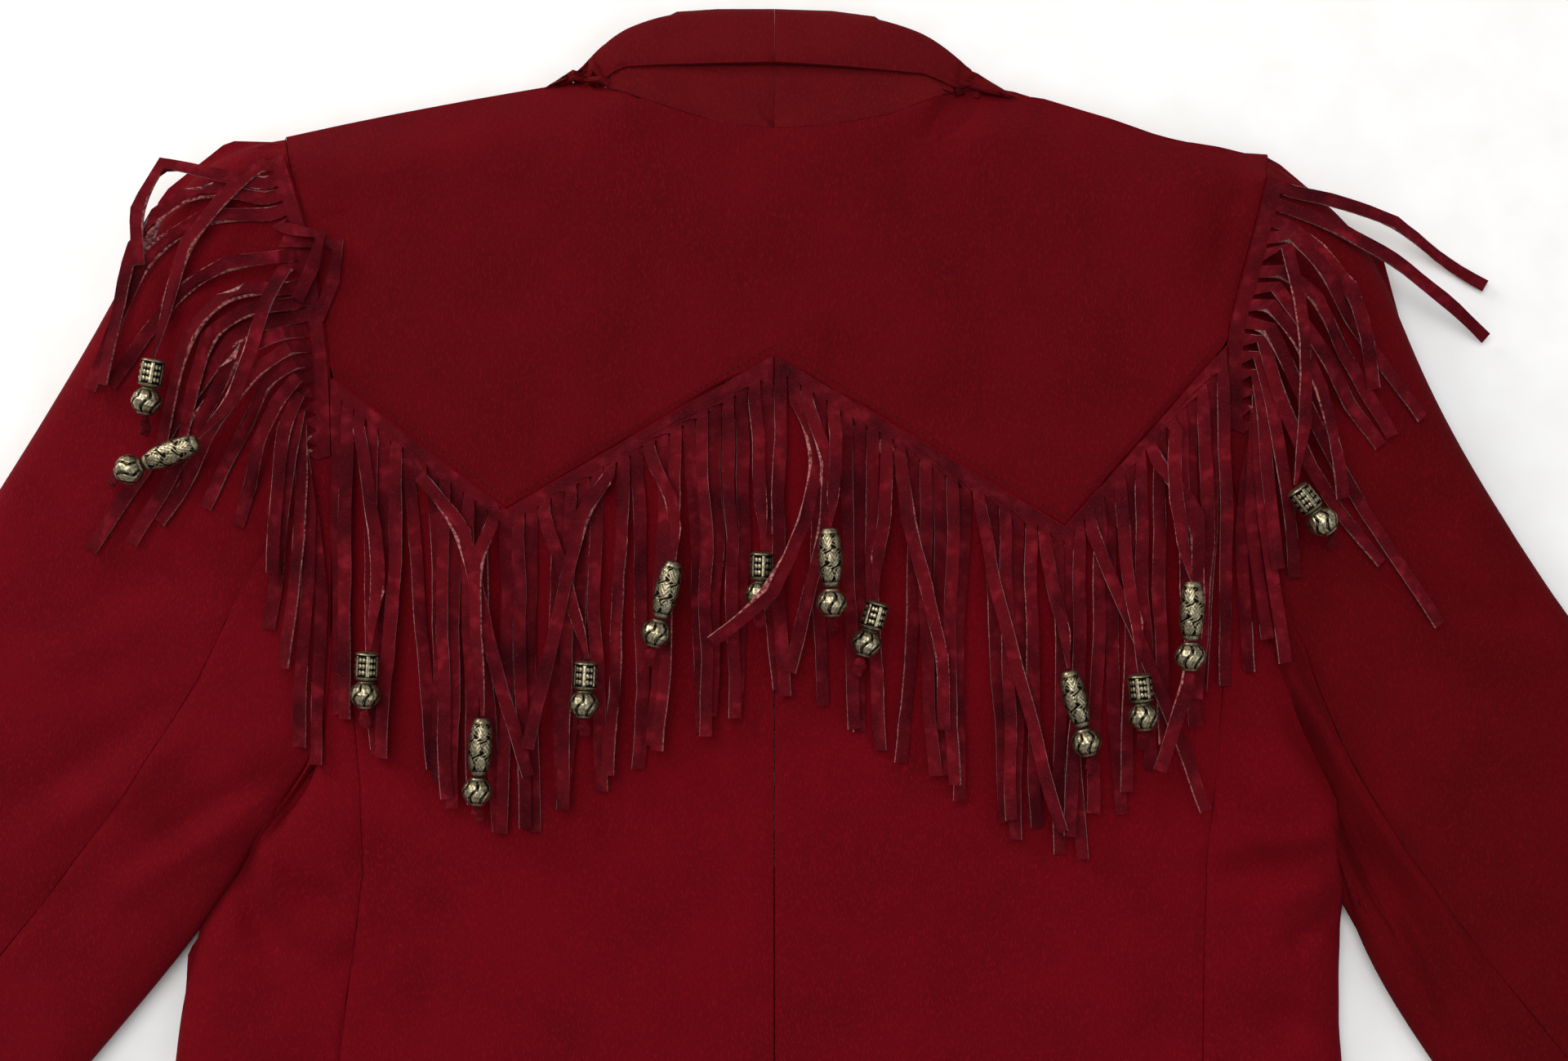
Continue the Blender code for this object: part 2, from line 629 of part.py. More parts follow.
def sleeve_plan(side):
    """The sleeve from above: armhole to cuff, outer edge to inner fold."""
    edge = smooth(OUTER_EDGE[side][TIP_INDEX:], 200)
    fold = smooth(INNER_EDGE[side], 200)
    hole = smooth(ARMHOLE[side], SLEEVE_SAMPLES)
    cuff = np.linspace(edge[-1], fold[-1], SLEEVE_SAMPLES)
    return coons(hole, cuff, read_at(edge, SLEEVE_ROWS), read_at(fold, SLEEVE_ROWS),
                 along=SLEEVE_ROWS)


def add_sleeve(side):
    """Upper and under sleeve, each folded round one edge of the flattened tube."""
    plan = sleeve_plan(side)
    rows = len(SLEEVE_ROWS)
    share, place = zip(*BACK_SEAM_SHARE)
    back = np.interp(SLEEVE_ROWS, share, place)[:, None]
    towards = np.array(TOWARDS_FOLD)
    middle = plan[rows // 2, plan.shape[1] // 2]
    upper_over = back * towards
    upper_under = np.repeat(FORE_SEAM_SHARE * np.array([FROM_OUTER_FOLD]), rows, axis=0)
    under_over = 1 - (1 - back) * towards
    under_under = np.repeat(1 - (1 - FORE_SEAM_SHARE) * np.array([FROM_INNER_FOLD]), rows, axis=0)
    for name, over, under in (("top_sleeve_", upper_over, upper_under),
                              ("under_sleeve_", under_over, under_under)):
        grid = across_rows(plan, np.concatenate([over, under], axis=1))
        grid = inset(grid, SLEEVE_HEAD_INSET)
        face = np.ones(grid.shape[:2])
        face[:, len(towards):] = -1
        outer, inner = wall_points(grid, face, SLEEVE_FOLDS, middle)
        shell(name + side, outer, inner, wool())


# ---------------------------------------------------------------- fringe
FRINGE_SEED = 11
ROOT_GAP = 0.9              # between neighbouring strands at the backing
BACKING_OFFSET = 1.0        # backing's start from the yoke's seam
ARMHOLE_OFFSET = 0.9        # and from the armhole
BACKING_FROM_TIP = 9.0      # the armhole fringe starts this far below the shoulder tip
SWAY = 5.0                  # how far a strand's tip may stray sideways by chance
TIP_PULL = 0.55             # how much of its way a tip moves to the nearest cluster
RING_SHARES = (0, .06, .26, .5, .75, 1)
GRID_STEP = 1.0             # of the map of what already lies there
MAP_X = (-350, 350)
MAP_Y = (-190, 240)

TIP_CLUSTERS = (-198, -184, -170, -139, -127, -116, -104, -92, -74, -54, -26, -14, 2, 18, 36, 45,
                54, 67, 74, 103, 113, 124, 134, 150, 163, 180, 193, 208)

# columns: root y, then x and y of a point on the way, then of the tip
ARMHOLE_STRANDS = {         # lowest first; upper strands fall over lower ones
    "left": [
        (35, -193, -20, -197, -100), (42, -197, 0, -204, -92), (50, -200, 10, -208, -58),
        (58, -205, 25, -216, -42), (66, -207, 40, -212, -18), (74, -214, 45, -229, 2),
        (82, -216, 60, -243, 10), (90, -222, 62, -262, 4), (98, -225, 75, -273, -5),
        (106, -224, 90, -292, -8), (114, -238, 88, -250, 38), (122, -242, 96, -262, 30),
        (130, -246, 108, -282, 62), (138, -184, 121, -194, 90), (142, -191, 124, -202, 98),
        (148, -259, 128, -290, 60), (154, -262, 142, -284, 62), (162, -266, 154, -268, 112),
    ],
    "right": [
        (46, 199, 8, 203, -60), (54, 202, 10, 210, -46), (62, 206, 18, 217, -56),
        (70, 208, 30, 213, -16), (78, 214, 30, 222, -20), (86, 219, 38, 258, -14),
        (94, 224, 52, 283, -40), (102, 226, 68, 240, 14), (110, 228, 76, 258, 36),
        (118, 232, 92, 262, 40), (126, 238, 98, 276, 48), (134, 240, 110, 254, 60),
        (142, 254, 122, 310, 84), (150, 262, 134, 311, 107),
    ],
}

HERO_COLUMNS = ("root_x", "via_x", "via_y", "low_x", "low_y", "tip_x", "tip_y", "bead", "turn")
HERO_STRANDS = [            # strands that cross over the rest; bead: kind, turn: its lean in degrees
    (-176, -170, 10, -168, -20, -171, -50, "barrel", 3),
    (-96, -92, -10, -84, -35, -79, -54, "barrel", 3),
    (-52, -44, 14, -42, 0, -42, -12, "long", 14),
    (-8, -7, 34, -5, 8, -5, -8, "barrel", 2),
    (24, 26, 40, 24, 12, 23, 2, "long", -2),
    (48, 47, 6, 44, -14, 44, -29, "barrel", 16),
    (118, 120, -30, 124, -48, 124, -58, "long", -14),
    (148, 150, -20, 154, -44, 153, -59, "barrel", -6),
    (168, 168, 20, 172, -8, 173, -20, "long", 2),
    (-122, -126, -10, -124, -60, -123, -78, "long", 4),
    (-72, -78, 22, -92, -40, -104, -92, "", 0),
    (10, 20, 40, 4, -20, -26, -46, "", 0),
    (16, 24, 20, 14, -30, 6, -60, "", 0),
    (50, 58, -6, 70, -40, 72, -84, "", 0),
    (86, 98, -40, 112, -90, 122, -128, "", 0),
    (134, 150, -36, 168, -80, 182, -118, "", 0),
    (160, 176, 20, 178, -40, 160, -100, "", 0),
    (-150, -134, 10, -120, -50, -104, -104, "", 0),
]
ARMHOLE_BEADS = [           # side, root_y, via_x, via_y, tip_x, tip_y, kind, lean
    ("left", 170, -250, 120, -260, 73, "barrel", 10),
    ("left", 126, -222, 60, -240, 38, "long", 68),
    ("right", 124, 222, 60, 218, 19, "barrel", -38),
]

BEAD_SIDES = 8
BEAD_PROFILE = {            # (distance down the chain, radius): upper bead, neck, round bead
    "barrel": [(0, 4.4), (1, 5.4), (10.5, 5.4), (11.5, 4.4), (12.2, 3.0), (13, 4.2), (15.5, 6.1),
               (18.5, 6.6), (21.5, 5.9), (24, 3.6)],
    "long": [(0, 3.0), (4, 4.6), (12, 5.3), (20, 4.7), (24, 3.2), (24.8, 2.6), (26, 4.4),
             (28.5, 6.2), (31.5, 6.6), (34.5, 5.9), (37, 3.6)],
}
BEAD_GAP = 0.2              # between a bead and what it rests on
BEAD_STEP = 0.85            # from a strand's tip to its bead
THREADED_WIDTH = 1.2        # a strip's width where it goes into a bead
KNOT_LENGTH = 9.0
KNOT_WIDTH = 5.5


def garment_outline():
    left, right = "left", "right"
    line = [OUTER_EDGE[left], INNER_EDGE[left][::-1], SIDE_EDGE[left]]
    line += [SIDE_EDGE[right][::-1], INNER_EDGE[right], OUTER_EDGE[right][::-1]]
    return np.vstack([smooth(part, 50) for part in line])


def inside_outline(x, y, outline):
    """Even-odd test of many points against a closed line."""
    inside = np.zeros(x.shape, bool)
    for (ax, ay), (bx, by) in zip(outline, np.roll(outline, -1, axis=0)):
        if ay == by:
            continue
        crosses = ((ay > y) != (by > y)) & (x < (bx - ax) * (y - ay) / (by - ay) + ax)
        inside ^= crosses
    return inside


class Pile:
    """Map of how high things already lie, on a grid over the shoulders."""

    def __init__(self):
        coarse = 2 * GRID_STEP
        xs = np.arange(MAP_X[0], MAP_X[1], coarse) + coarse / 2
        ys = np.arange(MAP_Y[0], MAP_Y[1], coarse) + coarse / 2
        x, y = np.meshgrid(xs, ys, indexing="ij")
        cloth = top_height(np.stack([x, y], axis=-1), BODY_FOLDS + SLEEVE_FOLDS[2:])
        cloth = np.where(inside_outline(x, y, garment_outline()), cloth, TABLE_CLEAR - PILE_GAP)
        self.top = cloth.repeat(2, axis=0).repeat(2, axis=1)

    def cells(self, a, b, half):
        """Grid cells under a strip from a to b."""
        run = b - a
        length = max(np.linalg.norm(run), 1e-6)
        square = np.array([-run[1], run[0]]) / length
        along = np.linspace(0, 1, int(length / (GRID_STEP * 0.7)) + 2)
        across = np.linspace(-half, half, int(2 * half / (GRID_STEP * 0.7)) + 2)
        places = a + along[:, None, None] * run + across[None, :, None] * square
        i = ((places[..., 0] - MAP_X[0]) / GRID_STEP).astype(int)
        j = ((places[..., 1] - MAP_Y[0]) / GRID_STEP).astype(int)
        i = np.clip(i, 0, self.top.shape[0] - 1)
        j = np.clip(j, 0, self.top.shape[1] - 1)
        return i, j, along

    def highest(self, a, b, half):
        i, j, _ = self.cells(a, b, half)
        return float(self.top[i, j].max())

    def cover(self, a, b, half, top_a, top_b):
        i, j, along = self.cells(a, b, half)
        level = np.broadcast_to((top_a + (top_b - top_a) * along)[:, None], i.shape)
        np.maximum.at(self.top, (i, j), level)


def lay_strand(pile, path, twist, width, root_z, end_z=None):
    """Heights of a strand's middle line so that it rests on the pile; then it joins the pile."""
    half = width / 2 + 0.3
    rise = [width / 2 * abs(math.sin(t)) + STRIP_THICK / 2 * math.cos(t) for t in twist]
    steps = [pile.highest(a, b, half) for a, b in zip(path[:-1], path[1:])]
    heights = [root_z]
    for i in range(1, len(path)):
        near = steps[i] if i == 1 else max(steps[i - 1], steps[min(i, len(steps) - 1)])
        heights.append(near + PILE_GAP + rise[i])
    if end_z is not None:
        heights[-1] = max(heights[-1], end_z)
    for i in range(len(path) - 1):
        pile.cover(path[i], path[i + 1], half, heights[i] + rise[i], heights[i + 1] + rise[i + 1])
    return heights


def strand_path(root, leave, waypoints, length):
    """Plan of a strand: square out of its band, then through the waypoints, cut to length."""
    line = smooth([root, root + leave * FIRST_STEP] + [np.array(p, float) for p in waypoints], 60)
    reach = np.linalg.norm(np.diff(line, axis=0), axis=1).sum()
    share = min(1.0, length / reach)
    return read_at(line, np.array(RING_SHARES) * share)


def strand_rings(path, heights, twist, tip_width, tangent):
    """Corners of a strand's sections: near-high, far-high, far-low, near-low along the backing."""
    rings = []
    widths = [STRIP_WIDTH] * (len(path) - 1) + [tip_width]
    for i, (place, z, turn) in enumerate(zip(path, heights, twist)):
        a, b = path[max(i - 1, 0)], path[min(i + 1, len(path) - 1)]
        run = (b - a) / np.linalg.norm(b - a)
        square = np.array([-run[1], run[0]])
        if i == 0:
            hand = 1 if square @ tangent > 0 else -1
        square = square * hand
        across = np.array([*(square * math.cos(turn)), math.sin(turn)]) * widths[i] / 2
        up = np.array([*(-square * math.sin(turn)), math.cos(turn)]) * STRIP_THICK / 2
        middle = np.array([*place, z])
        rings.append([middle - across + up, middle + across + up,
                      middle + across - up, middle - across - up])
    return rings


def fringe_node(name, roots, tangents, leave, offset, strands):
    """Backing strip and its strands as one closed body; strands: rings for each root."""
    half = (STRIP_PITCH - ROOT_GAP) / 2
    points, faces = [], []
    for root, tangent in zip(roots, tangents):
        for side in (-half, half):
            near = root + tangent * side + leave * offset
            far = near + leave * BACKING_DEPTH
            for place, top in ((near, 0), (near, 1), (far, 1), (far, 0)):
                z = float(top_height(place, BODY_FOLDS + SLEEVE_FOLDS[2:])) + SEAM_GAP
                points.append(np.array([*place, z + top * STRIP_THICK]))
    stations = 2 * len(roots)
    for i in range(stations - 1):
        a, b = 4 * i, 4 * (i + 1)
        for corner in range(4):
            following = (corner + 1) % 4
            if corner == 2 and i % 2 == 0:
                continue
            faces.append((a + corner, b + corner, b + following, a + following))
    faces.append((0, 1, 2, 3))
    last = 4 * (stations - 1)
    faces.append((last + 3, last + 2, last + 1, last))
    for k, rings in enumerate(strands):
        a, b = 8 * k, 8 * k + 4
        loop = [a + 2, b + 2, b + 3, a + 3]
        for ring in rings[1:]:
            fresh = list(range(len(points), len(points) + 4))
            points.extend(ring)
            for n in range(4):
                m = (n + 1) % 4
                faces.append((loop[n], loop[m], fresh[m], fresh[n]))
            loop = fresh
        faces.append(tuple(loop))
    solid(name, points, faces, suede())


def root_line(curve, count):
    """Roots and directions of a fringe along a seam."""
    line = even(curve, 4 * count + 1)
    roots = line[2::4]
    tangents = np.array([(line[i + 1] - line[i - 1]) for i in range(2, 4 * count + 1, 4)])
    return roots, tangents / np.linalg.norm(tangents, axis=1)[:, None]


def random_twist(chance, most):
    """Section turns in radians, nothing at the root."""
    turn = 0.0
    turns = [0.0, 0.0]
    for _ in RING_SHARES[2:]:
        turn = 0.5 * turn + math.radians(chance.uniform(-most, most))
        turns.append(turn)
    return turns


def bead_chain(tip, lean, kind):
    """Direction, length and largest radius of a bead pair that starts at a tip."""
    turn = math.radians(lean)
    down = np.array([-math.sin(turn), -math.cos(turn)])
    return down, BEAD_PROFILE[kind][-1][0], max(radius for _, radius in BEAD_PROFILE[kind])


def bead_height(pile, tip, lean, kind):
    """Height of a bead pair's middle line where it rests on the pile."""
    down, length, fattest = bead_chain(tip, lean, kind)
    return pile.highest(tip, tip + down * length, fattest + 0.5) + BEAD_GAP + fattest


def lay_beads(pile, number, tip, lean, kind, middle, finish):
    """A cast bead pair at a strand's tip, and the knot below it."""
    down, length, fattest = bead_chain(tip, lean, kind)
    end = tip + down * length
    points = []
    for along, radius in BEAD_PROFILE[kind]:
        for i in range(BEAD_SIDES):
            angle = 2 * math.pi * (i + 0.5) / BEAD_SIDES
            sideways = np.array([-down[1], down[0]]) * radius * math.cos(angle)
            place = tip + down * along + sideways
            points.append(np.array([*place, middle + radius * math.sin(angle)]))
    sections = [points[i:i + BEAD_SIDES] for i in range(0, len(points), BEAD_SIDES)]
    tube("beads_%02d" % number, sections, finish)
    pile.cover(tip, end, fattest + 0.5, middle + fattest, middle + fattest)
    knot_start = end + down * SEAM_GAP
    knot_end = knot_start + down * KNOT_LENGTH
    knot_z = pile.highest(knot_start + down * 1.5, knot_end, KNOT_WIDTH / 2 + 1) + PILE_GAP + 1.6
    knot_z = min(knot_z, middle) if knot_z < middle + 3 else middle
    rings = []
    for along, width, thick, z in ((0, 1.6, 1.2, middle), (2.5, KNOT_WIDTH / 2, 1.5, (middle + knot_z) / 2),
                                   (KNOT_LENGTH, KNOT_WIDTH / 2, 0.7, knot_z)):
        sideways = np.array([-down[1], down[0]])
        centre = knot_start + down * along
        rings.append([np.array([*(centre - sideways * width), z + thick]),
                      np.array([*(centre + sideways * width), z + thick]),
                      np.array([*(centre + sideways * width), z - thick]),
                      np.array([*(centre - sideways * width), z - thick])])
    tube("knot_%02d" % number, rings, suede())
    pile.cover(knot_start, knot_end, KNOT_WIDTH / 2 + 0.5, middle + 1.6, knot_z + 1.6)


def add_fringe():
    """All the fringe: plain yoke strands first, every other one on top, then the rest."""
    chance = random.Random(FRINGE_SEED)
    pile = Pile()
    down = np.array([0.0, -1.0])
    groups = {}
    for side, corners in (("left", [(yoke_end_x("left"), YOKE_EDGE_Y["left"]), YOKE_POINT["left"],
                                    YOKE_PEAK]),
                          ("right", [YOKE_PEAK, YOKE_POINT["right"],
                                     (yoke_end_x("right"), YOKE_EDGE_Y["right"])])):
        length = np.linalg.norm(np.diff(np.array(corners), axis=0), axis=1).sum()
        roots, tangents = root_line(corners, int(length / STRIP_PITCH))
        groups["yoke_" + side] = [roots, tangents, down, BACKING_OFFSET, [None] * len(roots)]
    for side, sign in (("left", -1), ("right", 1)):
        tip_y = OUTER_EDGE[side][TIP_INDEX][1]
        rows = ARMHOLE_STRANDS[side] + [row[1:6] for row in ARMHOLE_BEADS if row[0] == side]
        rows = sorted(rows)
        first, last = rows[0][0] - 3, tip_y - BACKING_FROM_TIP
        count = len(rows)
        roots, tangents = root_line(between(ARMHOLE[side], first, last, 40), count)
        leave = np.array([sign * 0.94, -0.34])
        groups["armhole_" + side] = [roots, tangents, leave, ARMHOLE_OFFSET, [None] * count, rows]

    number = 0
    heroes = {"yoke_left": {}, "yoke_right": {}}
    for row in HERO_STRANDS:
        part = dict(zip(HERO_COLUMNS, row))
        name = "yoke_left" if part["root_x"] < 0 else "yoke_right"
        roots = groups[name][0]
        order = np.argsort(abs(roots[:, 0] - part["root_x"]))
        k = next(int(i) for i in order if int(i) not in heroes[name])
        heroes[name][k] = part

    def lay(group, k, waypoints, length, twist, end_z=None):
        """A strand on the pile; returns the height of its tip."""
        roots, tangents, leave, offset, strands = groups[group][:5]
        root = roots[k] + leave * (offset + BACKING_DEPTH)
        path = strand_path(root, leave, waypoints, length)
        root_z = float(top_height(root, BODY_FOLDS + SLEEVE_FOLDS[2:])) + SEAM_GAP + STRIP_THICK / 2
        heights = lay_strand(pile, path, twist, STRIP_WIDTH, root_z, end_z)
        strands[k] = strand_rings(path, heights, twist, STRIP_WIDTH if end_z is None else THREADED_WIDTH,
                                  tangents[k])
        return heights[-1]

    def lay_beaded(group, k, waypoints, twist, lean, kind):
        nonlocal number
        number += 1
        twist[-1] = 0.0
        tip = np.array(waypoints[-1], float) + (0, -BEAD_STEP)
        end_z = lay(group, k, waypoints, 400.0, twist, bead_height(pile, tip, lean, kind))
        lay_beads(pile, number, tip, lean, kind, end_z, brass())

    for parity in (0, 1):
        for name in ("yoke_left", "yoke_right"):
            roots = groups[name][0]
            for k in range(parity, len(roots), 2):
                sway = chance.uniform(-SWAY, SWAY)
                length = STRAND_LENGTH + chance.uniform(-4, 4)
                twist = random_twist(chance, 24)
                if k in heroes[name]:
                    continue
                x, y = roots[k]
                tip_x = x + sway
                cluster = min(TIP_CLUSTERS, key=lambda c: abs(c - tip_x))
                tip_x += (cluster - tip_x) * TIP_PULL
                knee = (x + (tip_x - x) * 0.45 - sway * 0.5, y - 70)
                lay(name, k, [knee, (tip_x, y - length)], length, twist)
    for name in ("yoke_left", "yoke_right"):
        for k, part in sorted(heroes[name].items()):
            waypoints = [(part["via_x"], part["via_y"]), (part["low_x"], part["low_y"]),
                         (part["tip_x"], part["tip_y"])]
            twist = random_twist(chance, 20)
            if part["bead"]:
                lay_beaded(name, k, waypoints, twist, part["turn"], part["bead"])
            else:
                lay(name, k, waypoints, 400.0, twist)
    for side in SIDES:
        rows = groups["armhole_" + side][5]
        beads = {row[1]: row for row in ARMHOLE_BEADS if row[0] == side}
        for k, (root_y, via_x, via_y, tip_x, tip_y) in enumerate(rows):
            root = groups["armhole_" + side][0]
            flip = len(rows) - 1 - k if root[0][1] > root[-1][1] else k
            twist = random_twist(chance, 24)
            waypoints = [(via_x, via_y), (tip_x, tip_y)]
            if root_y in beads:
                bead = beads[root_y]
                lay_beaded("armhole_" + side, flip, waypoints, twist, bead[7], bead[6])
            else:
                lay("armhole_" + side, flip, waypoints, 400.0, twist)
    for name, group in groups.items():
        fringe_node("fringe_" + name, *group[:5])


# ---------------------------------------------------------------- the garment
for leftover in list(bpy.data.objects):
    bpy.data.objects.remove(leftover, do_unlink=True)
GARMENT = bpy.data.objects.new("garment", None)
GARMENT.location = (-ORIGIN_X * MM, -ORIGIN_Y * MM, 0)
bpy.context.scene.collection.objects.link(GARMENT)

add_yoke()
for side in SIDES:
    add_back(side)
    add_side(side)
    add_front(side)
    add_lapel(side)
    add_collar(side)
    add_sleeve(side)
add_button()
add_fringe()
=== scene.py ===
# %% [markdown]
# # Western blazer, laid flat with its back up
# A wine-red wool blazer lies face down. Its back yoke ends in two points, and a long fringe of
# suede strips hangs from the yoke and both armholes, with cast metal beads on thirteen strips.
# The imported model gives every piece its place; this script makes the finer form and finish.

import math
import random

import bmesh
import bpy
import numpy as np
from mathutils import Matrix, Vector, noise
from mathutils.bvhtree import BVHTree
from mathutils.kdtree import KDTree


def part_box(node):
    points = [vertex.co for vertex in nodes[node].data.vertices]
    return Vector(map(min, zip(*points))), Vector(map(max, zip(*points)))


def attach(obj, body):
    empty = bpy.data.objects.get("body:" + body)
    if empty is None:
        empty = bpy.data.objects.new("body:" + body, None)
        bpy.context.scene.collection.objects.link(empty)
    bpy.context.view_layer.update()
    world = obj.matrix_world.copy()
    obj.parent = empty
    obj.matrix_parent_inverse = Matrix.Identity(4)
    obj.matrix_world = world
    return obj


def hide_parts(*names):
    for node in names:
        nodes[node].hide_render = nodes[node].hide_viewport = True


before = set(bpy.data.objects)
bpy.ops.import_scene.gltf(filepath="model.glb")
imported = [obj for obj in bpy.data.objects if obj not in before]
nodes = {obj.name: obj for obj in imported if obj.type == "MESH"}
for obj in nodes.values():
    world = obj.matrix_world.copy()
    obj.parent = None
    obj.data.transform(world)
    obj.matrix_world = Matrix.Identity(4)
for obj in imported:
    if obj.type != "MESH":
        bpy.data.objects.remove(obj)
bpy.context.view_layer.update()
scene = bpy.context.scene
print(len(nodes), "solids in the frame")

# %% [markdown]
# ## Sizes
# Pattern places are in millimetres from the centre-back seam (x) and the shoulder line (y), and
# turn into the frame's metres with `at`.

# %%
MM = 0.001
PATTERN_ORIGIN = (-6.0, -110.5)     # the frame's origin, in the pattern
VIEW_CENTRE = (4.2, 0.2)            # pattern place under the camera
VIEW_WIDTH = 672.0                  # width of cloth in view
CLOTH_LEVEL = 20.0                  # height at which that width holds
LENS = 50.0
SENSOR = 36.0

SIDES = ("left", "right")
CLOTH = ["yoke"] + [name + "_" + side for side in SIDES
                    for name in ("back", "side", "front", "lapel", "collar", "top_sleeve",
                                 "under_sleeve")]
FRINGE = ["fringe_yoke_left", "fringe_yoke_right", "fringe_armhole_left", "fringe_armhole_right"]
BEADS = sorted(name for name in nodes if name.startswith("beads_"))
KNOTS = sorted(name for name in nodes if name.startswith("knot_"))

SHARP = math.radians(62)            # cloth edges sharper than this stay edges
FOLD_SHARP = math.radians(84)       # the collar is folded more tightly than that
STRIP_SHARP = math.radians(50)
CLOTH_LEVELS = {"yoke": 3, "back": 3, "side": 3, "top_sleeve": 3, "under_sleeve": 3, "collar": 3,
                "front": 1, "lapel": 1}
STRIP_LEVELS = 2
LIFT_FROM = 3.5                     # creases start this high above the table
LIFT_FULL = 9.0                     # and are full from here up


def at(x, y, z=0.0):
    """A pattern place, in the frame's metres."""
    return Vector(((x - PATTERN_ORIGIN[0]) * MM, (y - PATTERN_ORIGIN[1]) * MM, z * MM))


def pattern_of(points):
    """Pattern x and y of an array of frame points."""
    return np.column_stack([points[:, 0] / MM + PATTERN_ORIGIN[0],
                            points[:, 1] / MM + PATTERN_ORIGIN[1]])


# %% [markdown]
# ## Materials
# All are procedural, on object coordinates, so they stay put from every side.

# %%
def srgb(code):
    """Linear colour of an sRGB hex code."""
    channels = [int(code[i:i + 2], 16) / 255 for i in (1, 3, 5)]
    return [c / 12.92 if c <= 0.04045 else ((c + 0.055) / 1.055) ** 2.4 for c in channels] + [1.0]


def add_node(tree, kind, values=(), links=()):
    """A shader node with its properties or inputs set, and its inputs linked."""
    node = tree.nodes.new(kind)
    for name, value in dict(values).items():
        if name in node.inputs:
            node.inputs[name].default_value = value
        else:
            setattr(node, name, value)
    for name, source in dict(links).items():
        tree.links.new(source, node.inputs[name])
    return node


def new_material(name, roughness, metallic=0.0, sheen=0.0, sheen_tint="#FFFFFF", specular=0.5):
    """A material with one Principled shader; returns it, its tree, the shader and coordinates."""
    material = bpy.data.materials.new(name)
    material.use_nodes = True
    tree = material.node_tree
    shader = tree.nodes["Principled BSDF"]
    shader.inputs["Roughness"].default_value = roughness
    shader.inputs["Metallic"].default_value = metallic
    shader.inputs["Sheen Weight"].default_value = sheen
    shader.inputs["Sheen Roughness"].default_value = 0.45
    shader.inputs["Sheen Tint"].default_value = srgb(sheen_tint)
    shader.inputs["Specular IOR Level"].default_value = specular
    place = add_node(tree, "ShaderNodeTexCoord").outputs["Object"]
    return material, tree, shader, place


def noise_of(tree, place, scale, detail=2.0, stretch=(1, 1, 1), turn=0.0):
    """Noise on object coordinates; scale is per metre."""
    mapping = add_node(tree, "ShaderNodeMapping", {"Scale": stretch, "Rotation": (0, 0, turn)},
                       {"Vector": place})
    return add_node(tree, "ShaderNodeTexNoise", {"Scale": scale, "Detail": detail},
                    {"Vector": mapping.outputs["Vector"]}).outputs["Fac"]


def colour_mix(tree, factor, low, high, a=0.3, b=0.7):
    """Mix of two colours or colour sockets, over a stretch of the factor."""
    ramp = add_node(tree, "ShaderNodeMapRange", {"From Min": a, "From Max": b}, {"Value": factor})
    mix = add_node(tree, "ShaderNodeMix", {"data_type": "RGBA"})
    tree.links.new(ramp.outputs["Result"], mix.inputs["Factor"])
    for socket, colour in ((6, low), (7, high)):
        if isinstance(colour, str):
            mix.inputs[socket].default_value = srgb(colour)
        else:
            tree.links.new(colour, mix.inputs[socket])
    return mix.outputs[2]


def bumps(tree, shader, layers):
    """A chain of bump nodes, each (height socket, distance in mm, strength)."""
    normal = None
    for height, distance, strength in layers:
        node = add_node(tree, "ShaderNodeBump", {"Distance": distance * MM, "Strength": strength},
                        {"Height": height})
        if normal:
            tree.links.new(normal, node.inputs["Normal"])
        normal = node.outputs["Normal"]
    tree.links.new(normal, shader.inputs["Normal"])


def wool_material(name, face, shade, light, turn=0.0):
    material, tree, shader, place = new_material(name, 0.92, sheen=0.03, sheen_tint="#8A0E18",
                                                 specular=0.07)
    cloudy = noise_of(tree, place, 28, 3)
    fibres = noise_of(tree, place, 1500, 3, (1, 0.35, 1), turn)
    base = colour_mix(tree, cloudy, face, shade, 0.35, 0.75)
    tree.links.new(colour_mix(tree, fibres, light, base, 0.28, 0.5), shader.inputs["Base Color"])
    mapping = add_node(tree, "ShaderNodeMapping", {"Rotation": (0, 0, turn + math.radians(52))},
                       {"Vector": place})
    twill = add_node(tree, "ShaderNodeTexWave", {"Scale": 380.0, "Distortion": 1.6, "Detail": 2.0},
                     {"Vector": mapping.outputs["Vector"]}).outputs["Fac"]
    bumps(tree, shader, [(twill, 0.12, 0.35), (fibres, 0.25, 0.5)])
    return material


def suede_material(name="suede", face="#560912", worn_and_highlit="#801925", dark="#35050B"):
    material, tree, shader, place = new_material(name, 0.95, sheen=0.12, sheen_tint="#A02C3C",
                                                 specular=0.06)
    # Lighter blotches are partly brushed, worn suede and partly painted highlight; darker blotches
    # are partly the suede's own uneven tone and partly painted shade.
    brushed_and_highlit = noise_of(tree, place, 160, 4)
    nap = noise_of(tree, place, 2200, 3)
    strands = noise_of(tree, place, 45, 2)
    base = colour_mix(tree, brushed_and_highlit, worn_and_highlit, face, 0.2, 0.5)
    base = colour_mix(tree, strands, dark, base, 0.3, 0.6)
    tree.links.new(colour_mix(tree, nap, "#7C1E2A", base, 0.22, 0.42), shader.inputs["Base Color"])
    bumps(tree, shader, [(nap, 0.3, 0.6), (brushed_and_highlit, 0.5, 0.4)])
    return material


def cut_edge_material():
    """The raw edge of a suede strip, paler where the blade went through."""
    material, tree, shader, place = new_material("suede_edge", 0.9, sheen=0.2, specular=0.2)
    fuzz = noise_of(tree, place, 700, 3)
    tree.links.new(colour_mix(tree, fuzz, "#5A1219", "#B5706C", 0.4, 0.68),
                   shader.inputs["Base Color"])
    bumps(tree, shader, [(fuzz, 0.3, 0.5)])
    return material


